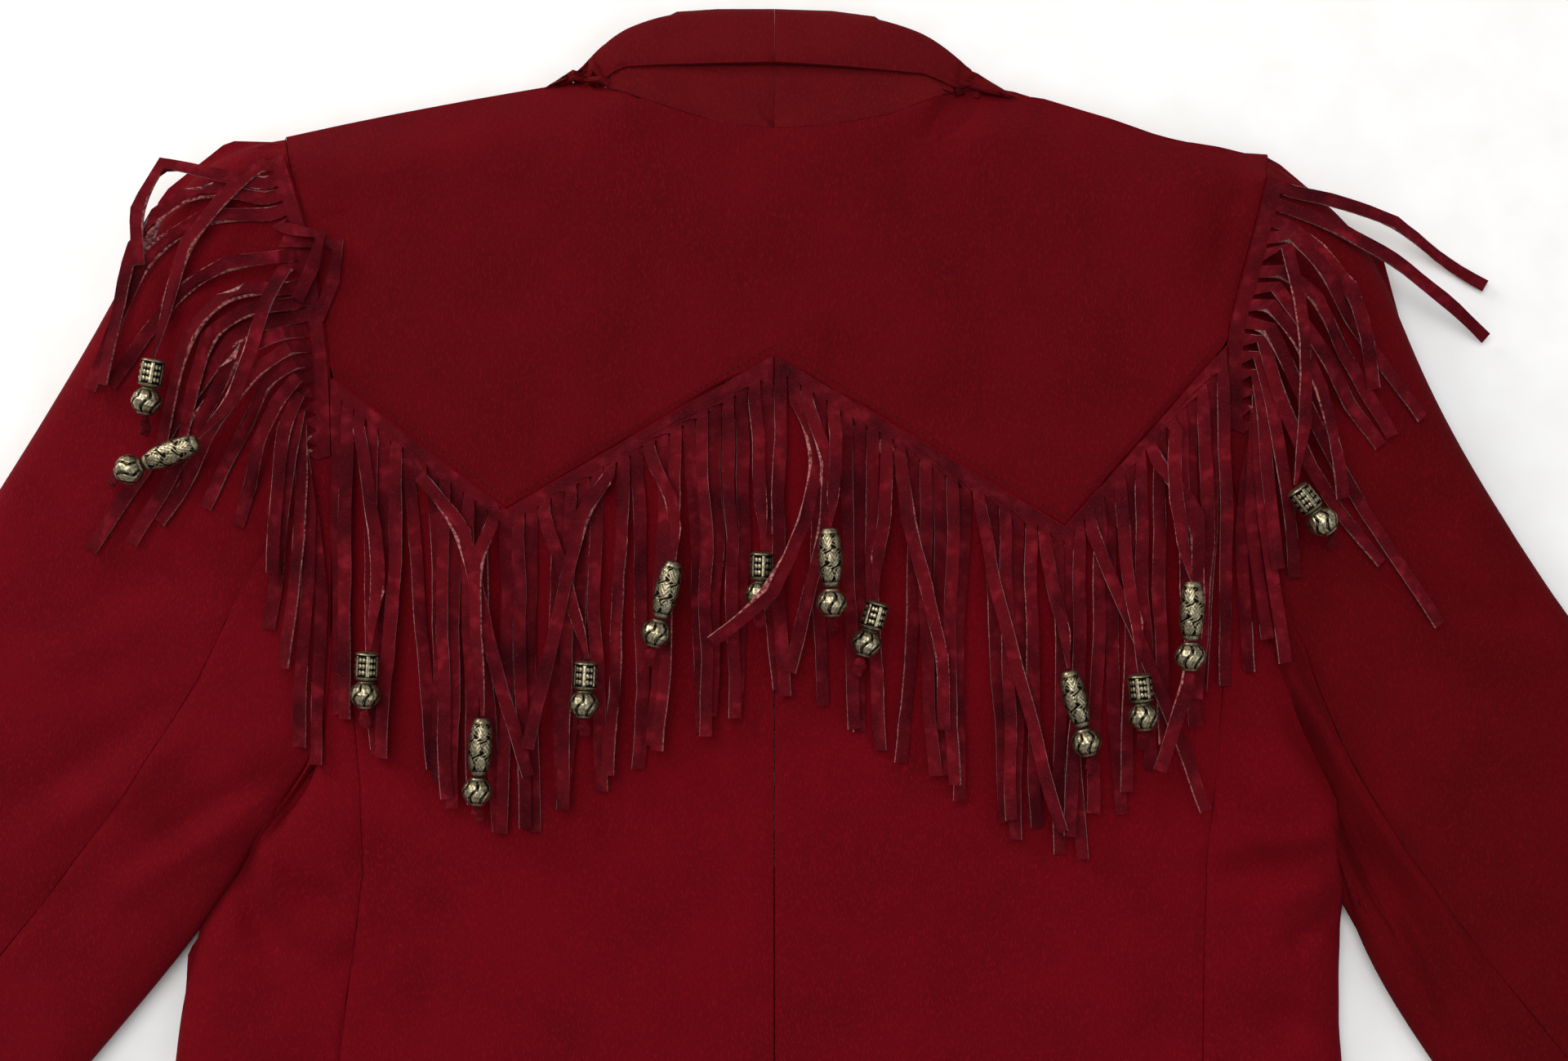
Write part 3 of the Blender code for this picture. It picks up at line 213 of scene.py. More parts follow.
def bead_material():
    """Antique brass: bright on the raised parts, black in the recesses (attribute `depth`)."""
    material, tree, shader, place = new_material("antique_brass", 0.34, metallic=1.0)
    depth = add_node(tree, "ShaderNodeAttribute", {"attribute_name": "depth"}).outputs["Fac"]
    grime = noise_of(tree, place, 900, 4)
    metal = colour_mix(tree, grime, "#6C6350", "#C2B695", 0.3, 0.65)
    tree.links.new(colour_mix(tree, depth, metal, "#0D0B08", 0.15, 0.7),
                   shader.inputs["Base Color"])
    rough = add_node(tree, "ShaderNodeMapRange", {"To Min": 0.26, "To Max": 0.7}, {"Value": depth})
    tree.links.new(rough.outputs["Result"], shader.inputs["Roughness"])
    bumps(tree, shader, [(grime, 0.08, 0.3)])
    return material


def thread_material():
    material, tree, shader, place = new_material("thread", 0.8, sheen=0.05, specular=0.1)
    ply = noise_of(tree, place, 3000, 1)
    tree.links.new(colour_mix(tree, ply, "#34040A", "#4C060E"), shader.inputs["Base Color"])
    bumps(tree, shader, [(ply, 0.1, 0.5)])
    return material


def button_material():
    material, tree, shader, place = new_material("button", 0.25, specular=0.6)
    swirl = noise_of(tree, place, 120, 3)
    tree.links.new(colour_mix(tree, swirl, "#2A0509", "#4C0D14"), shader.inputs["Base Color"])
    bumps(tree, shader, [(swirl, 0.05, 0.2)])
    return material


def floor_material():
    material, tree, shader, place = new_material("floor", 0.6)
    paper = noise_of(tree, place, 40, 3)
    tree.links.new(colour_mix(tree, paper, "#F3F2F0", "#F8F8F7"), shader.inputs["Base Color"])
    bumps(tree, shader, [(paper, 0.02, 0.2)])
    return material


# One wool cloth, with each piece's colours set lighter or darker as painted light and shade: the
# yoke, right sleeve and collar are painted darker than the body and left sleeve.
WOOL = {                            # face, shade and fibre colours, and the way the wool runs
    "body": wool_material("wool_body", "#62020D", "#56020B", "#700612"),
    "yoke": wool_material("wool_yoke", "#58030B", "#4C0209", "#660610", math.radians(90)),
    "left_sleeve": wool_material("wool_left_sleeve", "#60030E", "#54020B", "#6E0713",
                                 math.radians(-36)),
    "right_sleeve": wool_material("wool_right_sleeve", "#550209", "#4A0207", "#62050D",
                                  math.radians(34)),
    "collar": wool_material("wool_collar", "#55070C", "#49050A", "#620B10", math.radians(90)),
}
SUEDE = suede_material()
EDGE = cut_edge_material()
BRASS = bead_material()
THREAD = thread_material()
BUTTON = button_material()
print(len(bpy.data.materials), "materials")

# %% [markdown]
# ## Finer form from the frame
# A copy of a solid has its triangles joined to four-sided faces, keeps its sharp edges and is
# rounded by subdivision, so it keeps the solid's form and its 2 mm wall.

# %%
def as_quads(bm, sharp):
    """Joins triangle pairs, then marks the edges that must stay sharp."""
    bmesh.ops.remove_doubles(bm, verts=bm.verts, dist=1e-6)
    bmesh.ops.join_triangles(bm, faces=bm.faces, angle_face_threshold=math.radians(50),
                             angle_shape_threshold=math.radians(140))
    crease = bm.edges.layers.float.get("crease_edge") or bm.edges.layers.float.new("crease_edge")
    for edge in bm.edges:
        if len(edge.link_faces) == 2 and edge.calc_face_angle() > sharp:
            edge[crease] = 1.0
            edge.smooth = False


def nearest_on(segments, points):
    """The nearest place to each point on any of the segments (an array of end pairs)."""
    start, run = segments[:, 0], segments[:, 1] - segments[:, 0]
    squares = (run ** 2).sum(axis=1)
    share = np.einsum("psk,sk->ps", points[:, None] - start[None], run) / squares
    places = start[None] + np.clip(share, 0, 1)[:, :, None] * run[None]
    best = np.linalg.norm(places - points[:, None], axis=2).argmin(axis=1)
    return places[np.arange(len(points)), best]


def narrow(face, width):
    """Whether a face is a long strip no wider than this."""
    longest = max(edge.calc_length() for edge in face.edges)
    return face.calc_area() / longest < width and longest > 2.5 * width


def refined(name, source, levels, sharp, edge_width=0.0):
    """A subdivided copy of a node's mesh; its rims stay where the solid has them."""
    bm = bmesh.new()
    bm.from_mesh(nodes[source].data)
    as_quads(bm, sharp)
    for face in bm.faces:
        face.material_index = int(narrow(face, edge_width))
    rims = np.array([[vertex.co for vertex in edge.verts] for edge in bm.edges if not edge.smooth])
    mesh = bpy.data.meshes.new(name)
    bm.to_mesh(mesh)
    bm.free()
    piece = bpy.data.objects.new(name, mesh)
    scene.collection.objects.link(piece)
    modifier = piece.modifiers.new("rounding", "SUBSURF")
    modifier.levels = modifier.render_levels = levels
    modifier.use_limit_surface = False
    graph = bpy.context.evaluated_depsgraph_get()
    finer = bpy.data.meshes.new_from_object(piece.evaluated_get(graph))
    piece.modifiers.remove(modifier)
    piece.data = finer
    bpy.data.meshes.remove(mesh)
    finer.name = name
    finer.shade_smooth()
    if len(rims):
        points = points_of(piece)
        held = np.unique([edge.vertices[:] for edge in finer.edges if edge.use_edge_sharp])
        for some in np.array_split(held, max(1, len(held) // 400)):
            points[some] = nearest_on(rims, points[some])
        move_to(piece, points)
    return piece


def points_of(piece):
    points = np.zeros(len(piece.data.vertices) * 3, np.float32)
    piece.data.vertices.foreach_get("co", points)
    return points.reshape(-1, 3).astype(float)


def move_to(piece, points):
    piece.data.vertices.foreach_set("co", points.astype(np.float32).ravel())
    piece.data.update()


def finish_piece(piece, replaced, slot, *materials):
    """Material, body and replaced nodes of a finished piece; the slot argument is not used."""
    for material in materials:
        piece.data.materials.append(material)
    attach(piece, "root")
    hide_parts(*replaced)
    return piece


# %% [markdown]
# ## Creases
# Each crease is a soft, uneven ridge or trough along a short curve. Columns: points along it in
# the pattern, half-width at its start and end, and height (troughs below 0).

# %%
CREASES = [
    # left body, beside the sleeve and below the fringe
    ([(-219, -118), (-206, -148), (-195, -168), (-183, -184)], 5, 7, 2.6),
    ([(-226, -138), (-214, -166), (-203, -190)], 6, 8, -2.8),
    ([(-206, -140), (-192, -162), (-176, -176)], 5, 8, -1.9),
    ([(-176, -120), (-168, -150), (-164, -186)], 9, 14, -1.5),
    ([(-150, -150), (-147, -190), (-156, -228)], 10, 16, -1.2),
    ([(-232, -190), (-214, -214), (-190, -226)], 9, 12, 1.3),
    # right body
    ([(178, -142), (206, -146), (240, -140)], 5, 8, -2.0),
    ([(196, -128), (220, -132), (244, -128)], 5, 6, 1.6),
    ([(214, -178), (230, -170), (246, -163)], 5, 8, -2.2),
    ([(206, -160), (226, -154), (246, -150)], 6, 6, 1.5),
    ([(196, -206), (218, -212), (244, -218)], 8, 9, -2.2),
    ([(200, -226), (222, -234), (246, -240)], 8, 9, 1.3),
    ([(176, -180), (170, -210), (172, -240)], 10, 16, -1.0),
    # pinched strip at the right armpit, between two dark lines
    ([(208, -52), (219, -72), (233, -97), (248, -124)], 3, 5, -3.2),
    ([(216, -50), (228, -74), (242, -100), (256, -126)], 4, 5, 2.4),
    ([(222, -46), (236, -72), (250, -98), (262, -122)], 3, 5, -2.6),
    ([(186, -50), (204, -74), (222, -108), (240, -138)], 7, 9, 1.6),
    # right sleeve: the pressed edge of a deep fold, and the trough beside it
    ([(212, -36), (226, -50), (247, -98), (261, -126), (286, -161), (318, -227)], 3, 6, 2.6),
    ([(246, -110), (254, -136), (276, -172), (304, -232)], 4, 9, -3.6),
    ([(276, -14), (296, -30), (318, -34), (346, -35)], 5, 8, -2.4),
    ([(262, -30), (288, -46), (320, -52), (350, -54)], 8, 10, 1.4),
    ([(300, 2), (320, -14), (342, -22)], 7, 8, -1.3),
    ([(330, -90), (346, -118), (366, -150)], 8, 12, -1.0),
    # left sleeve: long soft bands across the arm
    ([(-326, -137), (-296, -118), (-268, -100), (-246, -88)], 8, 10, 1.8),
    ([(-330, -120), (-300, -102), (-270, -84), (-250, -70)], 8, 10, -1.6),
    ([(-282, -146), (-256, -128), (-226, -110), (-200, -99)], 7, 9, -1.7),
    ([(-288, -160), (-262, -143), (-236, -128), (-214, -120)], 8, 8, 1.5),
    ([(-336, -170), (-306, -160), (-284, -160)], 9, 12, -1.2),
    ([(-300, -36), (-270, -22), (-240, -16)], 10, 12, -1.0),
    ([(-324, -60), (-290, -48), (-262, -40)], 9, 10, 1.2),
    # lower back, faint
    ([(-40, -150), (-20, -196), (-26, -240)], 14, 20, -0.8),
    ([(60, -140), (88, -180), (96, -236)], 14, 20, -0.8),
    ([(20, -260), (60, -300), (80, -360)], 16, 22, 0.9),
    ([(-90, -250), (-70, -310), (-84, -380)], 16, 22, -0.9),
    # yoke, faint
    ([(-120, 150), (-96, 120), (-88, 84)], 16, 22, -0.8),
    ([(96, 150), (118, 112), (124, 70)], 16, 22, -0.8),
    ([(-30, 140), (20, 128), (60, 134)], 12, 16, 0.5),
    ([(-186, 150), (-178, 120), (-182, 96)], 6, 9, -1.2),
    ([(196, 146), (192, 118), (190, 96)], 6, 9, -1.0),
    # sleeves beyond the view
    ([(-380, -180), (-362, -206), (-340, -222)], 9, 12, -1.4),
    ([(-430, -250), (-408, -276), (-384, -290)], 9, 12, 1.3),
    ([(372, -190), (356, -214), (338, -226)], 9, 12, -1.4),
    ([(420, -262), (402, -284), (384, -300)], 9, 12, 1.3),
]
CREASE_SAMPLES = 36
CREASE_GAIN = 1.9
CREASE_TAPER = 0.7                  # how slowly a crease fades at its ends
WAVER = 0.22                        # unevenness of a crease along its length
SWELLS = ((95.0, 0.9), (38.0, 0.28), (14.0, 0.07))     # size and height of the cloth's own waves


def curve_through(points, count):
    """Even points on a smooth curve through a few."""
    points = [np.array(p, float) for p in points]
    ends = [2 * points[0] - points[1]] + points + [2 * points[-1] - points[-2]]
    line = []
    for a, b, c, d in zip(ends[:-3], ends[1:-2], ends[2:-1], ends[3:]):
        for t in np.linspace(0, 1, 16, endpoint=False):
            line.append(0.5 * (2 * b + (c - a) * t + (2 * a - 5 * b + 4 * c - d) * t * t
                               + (3 * b - a - 3 * c + d) * t ** 3))
    line = np.array(line + [points[-1]])
    walked = np.concatenate([[0], np.cumsum(np.linalg.norm(np.diff(line, axis=0), axis=1))])
    even = np.linspace(0, walked[-1], count)
    return np.column_stack([np.interp(even, walked, line[:, k]) for k in range(line.shape[1])])


def crease_height(places):
    """Height in mm that all creases add at pattern places."""
    total = np.zeros(len(places))
    for number, (points, start, end, height) in enumerate(CREASES):
        line = curve_through(points, CREASE_SAMPLES)
        reach = 3.2 * max(start, end)
        near = np.all((places > line.min(0) - reach) & (places < line.max(0) + reach), axis=1)
        if not near.any():
            continue
        gaps = np.linalg.norm(places[near][:, None, :] - line[None], axis=2)
        nearest = gaps.argmin(axis=1)
        share = nearest / (CREASE_SAMPLES - 1)
        width = start + (end - start) * share
        waver = 1 + WAVER * np.sin(share * 9 + number * 1.7)
        fade = np.sin(np.pi * np.clip(share, 0.02, 0.98)) ** CREASE_TAPER
        across = gaps.min(axis=1) / width / waver
        total[near] += CREASE_GAIN * height * waver * fade * np.exp(-across ** 2)
    return total


def swell_height(places):
    """The cloth's own slight waves, in mm."""
    heights = np.zeros(len(places))
    for size, height in SWELLS:
        heights += height * np.array([noise.noise(Vector((x / size, y / size, size)))
                                      for x, y in places])
    return heights


# %% [markdown]
# ## Seams
# The cloth turns in at each seam, so the edges of a piece's face round down into a groove, with a
# faint pressed ridge beside it where the allowance lies underneath.

# %%
NECK_SEAM = [(-84, 194.5), (-59, 185.3), (-43.8, 180), (-20, 173), (0, 171.5), (20, 172.3),
             (50, 177.5), (66, 183.8), (88, 193)]
COLLAR_SEAM = [(0, 172), (0, 224)]
SEAM_DEPTH = 0.75
SEAM_WIDTH = 1.5
SEAM_REACH = 6.0                    # rims up to this far apart are drawn together
SEAM_SPREAD = 9.0                   # over this much of the piece
SEAM_LEFT = 0.3                     # and this gap is left
SEAM_NEAR = 5.0                     # rims this close to a seam line belong to it
END_FROM, END_FULL = 62.0, 92.0     # from here to here along a collar half
FILL_RAMP = 24.0                    # over this width the shift grows from the seam outwards
SIDE_FILL = {                       # columns: y up the body, start beside the seam, outward shift
    "left": [(-447, 200, 5.0), (-225, 189, 5.5), (-195, 187, 6.0), (-183, 186, 6.5),
             (-172, 185, 9.0), (-160, 184, 8.8), (-143, 183, 9.2), (-127, 182, 6.2),
             (-112, 181, 2.5), (-100, 180, 0.0)],
    "right": [(-447, 200, 4.5), (-225, 190, 4.8), (-190, 190, 5.0), (-165, 190, 5.5),
              (-150, 190, 4.0), (-135, 190, 1.5), (-120, 190, 0.0)],
}
END_DROP = 5.0                      # its end comes down by this much
ALLOWANCE = 9.0                     # width of the seam allowance under the cloth
ALLOWANCE_RISE = 0.16


def straight_through(points, step=2.0):
    """Points every `step` mm along straight stretches."""
    line = []
    for a, b in zip(points[:-1], points[1:]):
        a, b = np.array(a, float), np.array(b, float)
        count = max(2, int(np.linalg.norm(b - a) / step))
        line.extend(a + (b - a) * t for t in np.linspace(0, 1, count, endpoint=False))
    return np.array(line + [np.array(points[-1], float)])


def kd_tree(points):
    tree = KDTree(len(points))
    for i, p in enumerate(points):
        tree.insert(Vector(p), i)
    tree.balance()
    return tree


def line_distance(places, line):
    """Distance in mm from pattern places to a line of points."""
    tree = kd_tree([(x, y, 0) for x, y in line])
    return np.array([tree.find((x, y, 0))[2] for x, y in places])


def rim_distance(piece, points):
    """Distance in mm from each point to the nearest sharp rim of its piece."""
    mesh = piece.data
    sharp = [edge.vertices[:] for edge in mesh.edges if edge.use_edge_sharp]
    rim = np.unique(np.array(sharp, int).ravel()) if sharp else np.array([], int)
    if not len(rim):
        return np.full(len(points), 1e3)
    tree = kd_tree(points[rim])
    return np.array([tree.find(Vector(p))[2] for p in points]) / MM


def drape(piece, seam_depth=SEAM_DEPTH):
    """Adds creases, waves and seam grooves to a piece; what lies on the table stays flat."""
    points = points_of(piece)
    places = pattern_of(points)
    level = points[:, 2] / MM
    lift = np.clip((level - LIFT_FROM) / (LIFT_FULL - LIFT_FROM), 0, 1)
    lift = lift * lift * (3 - 2 * lift)
    rim = rim_distance(piece, points)
    normals = np.zeros(len(points) * 3, np.float32)
    piece.data.vertices.foreach_get("normal", normals)
    outward = np.clip(normals.reshape(-1, 3)[:, 2], 0, 1)
    groove = -seam_depth * np.exp(-(rim / SEAM_WIDTH) ** 2) * outward
    ridge = ALLOWANCE_RISE / (1 + np.exp((rim - ALLOWANCE) * 1.2)) * outward
    settle = np.clip(rim / 6, 0.35, 1)
    points[:, 2] += MM * lift * (crease_height(places) + swell_height(places) * settle
                                 + groove + ridge)
    move_to(piece, points)
    return piece


def close_seam(piece, others, seam=None, left=SEAM_LEFT):
    """Draws a piece's rim to its neighbours' rims, everywhere or only near a seam line."""
    points = points_of(piece)
    rim = np.unique([edge.vertices[:] for edge in piece.data.edges if edge.use_edge_sharp])
    if seam is not None:
        rim = rim[line_distance(pattern_of(points[rim]), seam) < SEAM_NEAR]
    target = []
    for other in others:
        places = points_of(other)
        ends = np.unique([edge.vertices[:] for edge in other.data.edges if edge.use_edge_sharp])
        target.append(places[ends])
    target = np.vstack(target)
    tree = kd_tree(target)
    shifts = np.zeros((len(rim), 3))
    for row, index in enumerate(rim):
        place, _, gap = tree.find(Vector(points[index]))
        if left < gap / MM < SEAM_REACH:
            shifts[row] = (np.array(place) - points[index]) * (1 - left * MM / gap)
    rim_tree = kd_tree(points[rim])
    for i, point in enumerate(points):
        _, row, gap = rim_tree.find(Vector(point))
        points[i] = point + shifts[row] * math.exp(-(gap / MM / SEAM_SPREAD) ** 2)
    move_to(piece, points)


def widen_side(piece, side):
    """Brings a side fold out to the sleeve, and to the photographed outline below it."""
    points = points_of(piece)
    places = pattern_of(points)
    sign = -1 if side == "left" else 1
    level, start, reach = (np.array(column) for column in zip(*SIDE_FILL[side]))
    share = (sign * places[:, 0] - np.interp(places[:, 1], level, start)) / FILL_RAMP
    share = np.clip(share, 0, 1)
    reach = np.interp(places[:, 1], level, reach)
    points[:, 0] += sign * MM * reach * share * share * (3 - 2 * share)
    move_to(piece, points)


def settle_collar_end(piece):
    """Lets the end of a collar half down over the shoulder fold."""
    points = points_of(piece)
    share = np.clip((np.abs(pattern_of(points)[:, 0]) - END_FROM) / (END_FULL - END_FROM), 0, 1)
    points[:, 1] -= END_DROP * MM * share * share * (3 - 2 * share)
    move_to(piece, points)


# %% [markdown]
# ## Cloth pieces

# %%
def wool_of(name):
    if name.endswith("sleeve_left"):
        return WOOL["left_sleeve"]
    if name.endswith("sleeve_right"):
        return WOOL["right_sleeve"]
    if name.startswith("collar"):
        return WOOL["collar"]
    return WOOL["yoke"] if name == "yoke" else WOOL["body"]


cloth = {}
for name in CLOTH:
    part = name.rsplit("_", 1)[0] if name != "yoke" else name
    piece = refined("cloth_" + name, name, CLOTH_LEVELS[part],
                    FOLD_SHARP if part == "collar" else SHARP)
    if part not in ("front", "lapel"):
        drape(piece)
    finish_piece(piece, [name], "wool", wool_of(name))
    cloth[name] = piece
for side in SIDES:
    widen_side(cloth["side_" + side], side)
    settle_collar_end(cloth["collar_" + side])
    close_seam(cloth["collar_" + side], [cloth["yoke"]], straight_through(NECK_SEAM))
    close_seam(cloth["top_sleeve_" + side], [cloth["yoke"], cloth["back_" + side],
                                             cloth["side_" + side]])
    close_seam(cloth["back_" + side], [cloth["yoke"]])
close_seam(cloth["collar_left"], [cloth["collar_right"]], straight_through(COLLAR_SEAM), 0.05)
print({name: len(piece.data.polygons) for name, piece in cloth.items()})

# %% [markdown]
# ## Seam lines that carry fringe
# The strips stay where they are sewn: their own bends grow with distance from these lines.

# %%
YOKE_LINE = [(-189.3, 66.5), (-114.5, 9.8), (0, 76), (124.3, 2.5), (193, 80.5)]
ARMHOLE = {
    "left": [(-211, 170), (-197, 122.5), (-190, 77), (-188.5, 31.5), (-189, -17.5), (-190, -58)],
    "right": [(212.5, 161), (200, 112), (193, 80.5), (195, 31.5), (207, -31.5)],
}
BAND = 7.0                          # depth of the uncut suede band

# %% [markdown]
# ## Fringe
# Each fringe is one piece: a band of uncut suede along the seam, and its strips. Faces as narrow
# as the suede is thick are the cut edges.

# %%
CUT_EDGE = 1.5 * MM                 # faces up to this wide are cut edges
FRINGE_WAVES = ((34.0, 1.5), (13.0, 0.45))      # size and sideways reach of the strips' own bends
FRINGE_CURL = ((22.0, 0.5),)


def wander(points, waves, shift):
    """A smooth shift for each point, from noise on its place."""
    total = np.zeros(len(points))
    for size, reach in waves:
        total += reach * np.array([noise.noise(Vector(p / (size * MM)) + Vector((shift, 0, 0)))
                                   for p in points])
    return total


FRINGE_SEAMS = {name: straight_through(YOKE_LINE) for name in FRINGE[:2]}
FRINGE_SEAMS.update({"fringe_armhole_" + side: straight_through(ARMHOLE[side]) for side in SIDES})
fringe = {}
for name in FRINGE:
    piece = refined("suede_" + name, name, STRIP_LEVELS, STRIP_SHARP, CUT_EDGE)
    before = points_of(piece)
    root = np.clip((line_distance(pattern_of(before), FRINGE_SEAMS[name]) - BAND) / 22, 0, 1)
    after = before.copy()
    after[:, 0] += MM * root * wander(before, FRINGE_WAVES, 3.0)
    after[:, 1] += MM * root * wander(before, FRINGE_WAVES, 17.0) * 0.6
    after[:, 2] += MM * root * abs(wander(before, FRINGE_CURL, 31.0))
    move_to(piece, after)
    finish_piece(piece, [name], "suede", SUEDE, EDGE)
    middles = np.array([face.center for face in piece.data.polygons])
    in_band = line_distance(pattern_of(middles), FRINGE_SEAMS[name]) < BAND + 1.5
    for face, banded in zip(piece.data.polygons, in_band):
        if banded:
            face.material_index = 0
    fringe[name] = piece
print({name: len(piece.data.polygons) for name, piece in fringe.items()})

# %% [markdown]
# ## Beads
# Each chain is an upper bead and a round bead, turned from a profile, with their cast relief as
# real height. Around a bead `u` runs from 0 to 1; along it `v` runs from 0 to 1.

# %%
AROUND = 80
RELIEF = 0.42                       # height of the relief in mm
PROFILES = {                        # columns: distance down the chain, radius
    "barrel": [(0, 2.2), (0.1, 3.6), (0.5, 4.6), (1.1, 5.0), (2.0, 4.9), (6, 4.95), (10, 4.9),
               (10.9, 5.0), (11.5, 4.6), (11.9, 3.6), (12.0, 2.2)],
    "long": [(0, 1.8), (0.2, 2.8), (1.2, 3.5), (4, 4.4), (9, 5.0), (13, 5.1), (18, 4.7),
             (22, 3.8), (23.6, 3.2), (24.3, 2.6), (24.4, 1.8)],
    "round": [(0, 2.0), (0.2, 3.0), (0.9, 3.4), (1.5, 4.2), (3.2, 5.7), (5.6, 6.4), (7.6, 6.2),
              (9.6, 4.9), (10.8, 3.6), (11.4, 3.3), (11.8, 2.6), (11.9, 1.8)],
}
ROWS = {"barrel": 66, "long": 96, "round": 66}


def bump_at(u, v, centre_u, centre_v, size_u, size_v):
    """A round bump on the unit square; u wraps."""
    du = abs((u - centre_u + 0.5) % 1 - 0.5)
    return math.exp(-((du / size_u) ** 2 + ((v - centre_v) / size_v) ** 2) ** 1.5)


def barrel_relief(u, v):
    """Rims, upright bars, and framed panels of raised dots."""
    if v < 0.14 or v > 0.86:
        return 1.0 if abs(v - 0.5) > 0.40 else 0.4
    panel = (u * 6) % 1
    if panel < 0.14 or panel > 0.86:
        return 0.95
    height = 0.0
    for row in (0.28, 0.5, 0.72):
        for column in (0.34, 0.66):
            height = max(height, bump_at(panel, v, column, row, 0.15, 0.09))
    return height


def leaf_relief(u, v):
    """Pointed leaves in three rows, with veins, between beaded ends."""
    if v < 0.07 or v > 0.93:
        return 0.9
    height = 0.3
    for row, shift in ((0.2, 0.0), (0.5, 0.1), (0.8, 0.0)):
        for k in range(5):
            du = ((u - shift - k / 5 + 0.5) % 1 - 0.5) / 0.092
            dv = (v - row) / 0.17
            inside = 1 - (abs(du) ** 1.3 + abs(dv) ** 1.6)
            if inside > 0:
                vein = 0.5 + 0.5 * math.cos(13 * (abs(du) + 0.9 * dv))
                height = max(height, min(1, inside * 5) * (0.45 + 0.55 * vein))
    scrolls = 0.5 + 0.5 * math.sin(2 * math.pi * (u * 10 + 0.8 * math.sin(v * 24)))
    return max(height, 0.75 * scrolls ** 2)


def petal_relief(u, v):
    """Engraved petal strokes around a round bead."""
    if v < 0.12 or v > 0.9:
        return 0.85
    sway = u * 7 + 0.35 * math.sin(v * 6.3)
    stroke = abs((sway % 1) - 0.5) * 2
    petals = 0.5 + 0.5 * math.cos(2 * math.pi * (u * 14 - 1.6 * abs(v - 0.5)))
    cut = math.exp(-((stroke - 0.15) / 0.12) ** 2)
    return max(0.0, 0.92 - 0.8 * cut - 0.35 * petals ** 4)


RELIEFS = {"barrel": barrel_relief, "long": leaf_relief, "round": petal_relief}


def turned(bm, depth_layer, kind, start, down, spin):
    """Adds one bead: rings around its axis from `start` (mm) along `down`."""
    profile = np.array(PROFILES[kind])
    walked = np.concatenate([[0], np.cumsum(np.linalg.norm(np.diff(profile, axis=0), axis=1))])
    along = np.interp(np.linspace(0, walked[-1], ROWS[kind]), walked, profile[:, 0])
    radii = np.interp(np.linspace(0, walked[-1], ROWS[kind]), walked, profile[:, 1])
    length = profile[-1, 0]
    side = Vector((-down.y, down.x, 0))
    up = Vector((0, 0, 1))
    rings = []
    for distance, radius in zip(along, radii):
        v = distance / length
        soft = min(1, 6 * min(v, 1 - v))
        ring = []
        for k in range(AROUND):
            u = (k / AROUND + spin) % 1
            relief = RELIEFS[kind](u, v) * soft
            r = radius + RELIEF * (relief - 0.6) * soft
            angle = 2 * math.pi * k / AROUND
            place = start + down * distance + (side * math.cos(angle) + up * math.sin(angle)) * r
            vertex = bm.verts.new(place * MM)
            vertex[depth_layer] = 1 - relief if soft > 0.5 else 0.35
            ring.append(vertex)
        rings.append(ring)
    for a, b in zip(rings[:-1], rings[1:]):
        for k in range(AROUND):
            m = (k + 1) % AROUND
            bm.faces.new((a[k], a[m], b[m], b[k]))
    bm.faces.new(rings[0][::-1])
    bm.faces.new(rings[-1])


def chain_axis(name):
    """Top end, direction and length of a bead pair, in frame millimetres; its knot is below."""
    points = points_of(nodes[name]) / MM
    knot = points_of(nodes[name.replace("beads", "knot")]) / MM
    middle = points.mean(axis=0)
    plan = points[:, :2] - middle[:2]
    _, _, axes = np.linalg.svd(plan, full_matrices=False)
    down = Vector((*axes[0], 0))
    if (knot.mean(axis=0)[:2] - middle[:2]) @ axes[0] < 0:
        down = -down
    reach = plan @ np.array(down[:2])
    level = (points[:, 2].min() + points[:, 2].max()) / 2
    centre_line = Vector((*middle[:2], level))
    across = plan @ np.array([-down.y, down.x])
    centre_line += Vector((-down.y, down.x, 0)) * float((across.max() + across.min()) / 2)
    return centre_line + down * float(reach.min()), down, float(reach.max() - reach.min())


chance = random.Random(5)
beads = {}
LONG_FROM = 30                      # a chain longer than this, in mm, has the long bead
for name in BEADS:
    start, down, length = chain_axis(name)
    kind = "long" if length > LONG_FROM else "barrel"
    bm = bmesh.new()
    depth_layer = bm.verts.layers.float.new("depth")
    turned(bm, depth_layer, kind, start, down, chance.random())
    turned(bm, depth_layer, "round", start + down * (length - PROFILES["round"][-1][0]), down,
           chance.random())
    bmesh.ops.recalc_face_normals(bm, faces=bm.faces)
    mesh = bpy.data.meshes.new("cast_" + name)
    bm.to_mesh(mesh)
    bm.free()
    mesh.shade_smooth()
    piece = bpy.data.objects.new("cast_" + name, mesh)
    scene.collection.objects.link(piece)
    beads[name] = finish_piece(piece, [name], "beads", BRASS)

knots = {}
for name in KNOTS:
    piece = refined("suede_" + name, name, 4, math.pi)
    places = points_of(piece)
    normals = np.zeros(len(places) * 3, np.float32)
    piece.data.vertices.foreach_get("normal", normals)
    folds = wander(places, ((3.2, 0.9), (1.4, 0.3)), 9.0)
    move_to(piece, places + normals.reshape(-1, 3) * folds[:, None] * MM)
    knots[name] = finish_piece(piece, [name], "suede", SUEDE)
print(len(beads), "bead chains,", len(knots), "knots")

# %% [markdown]
# ## Button
# The one that fastens the fronts underneath: a low dish with a rim.

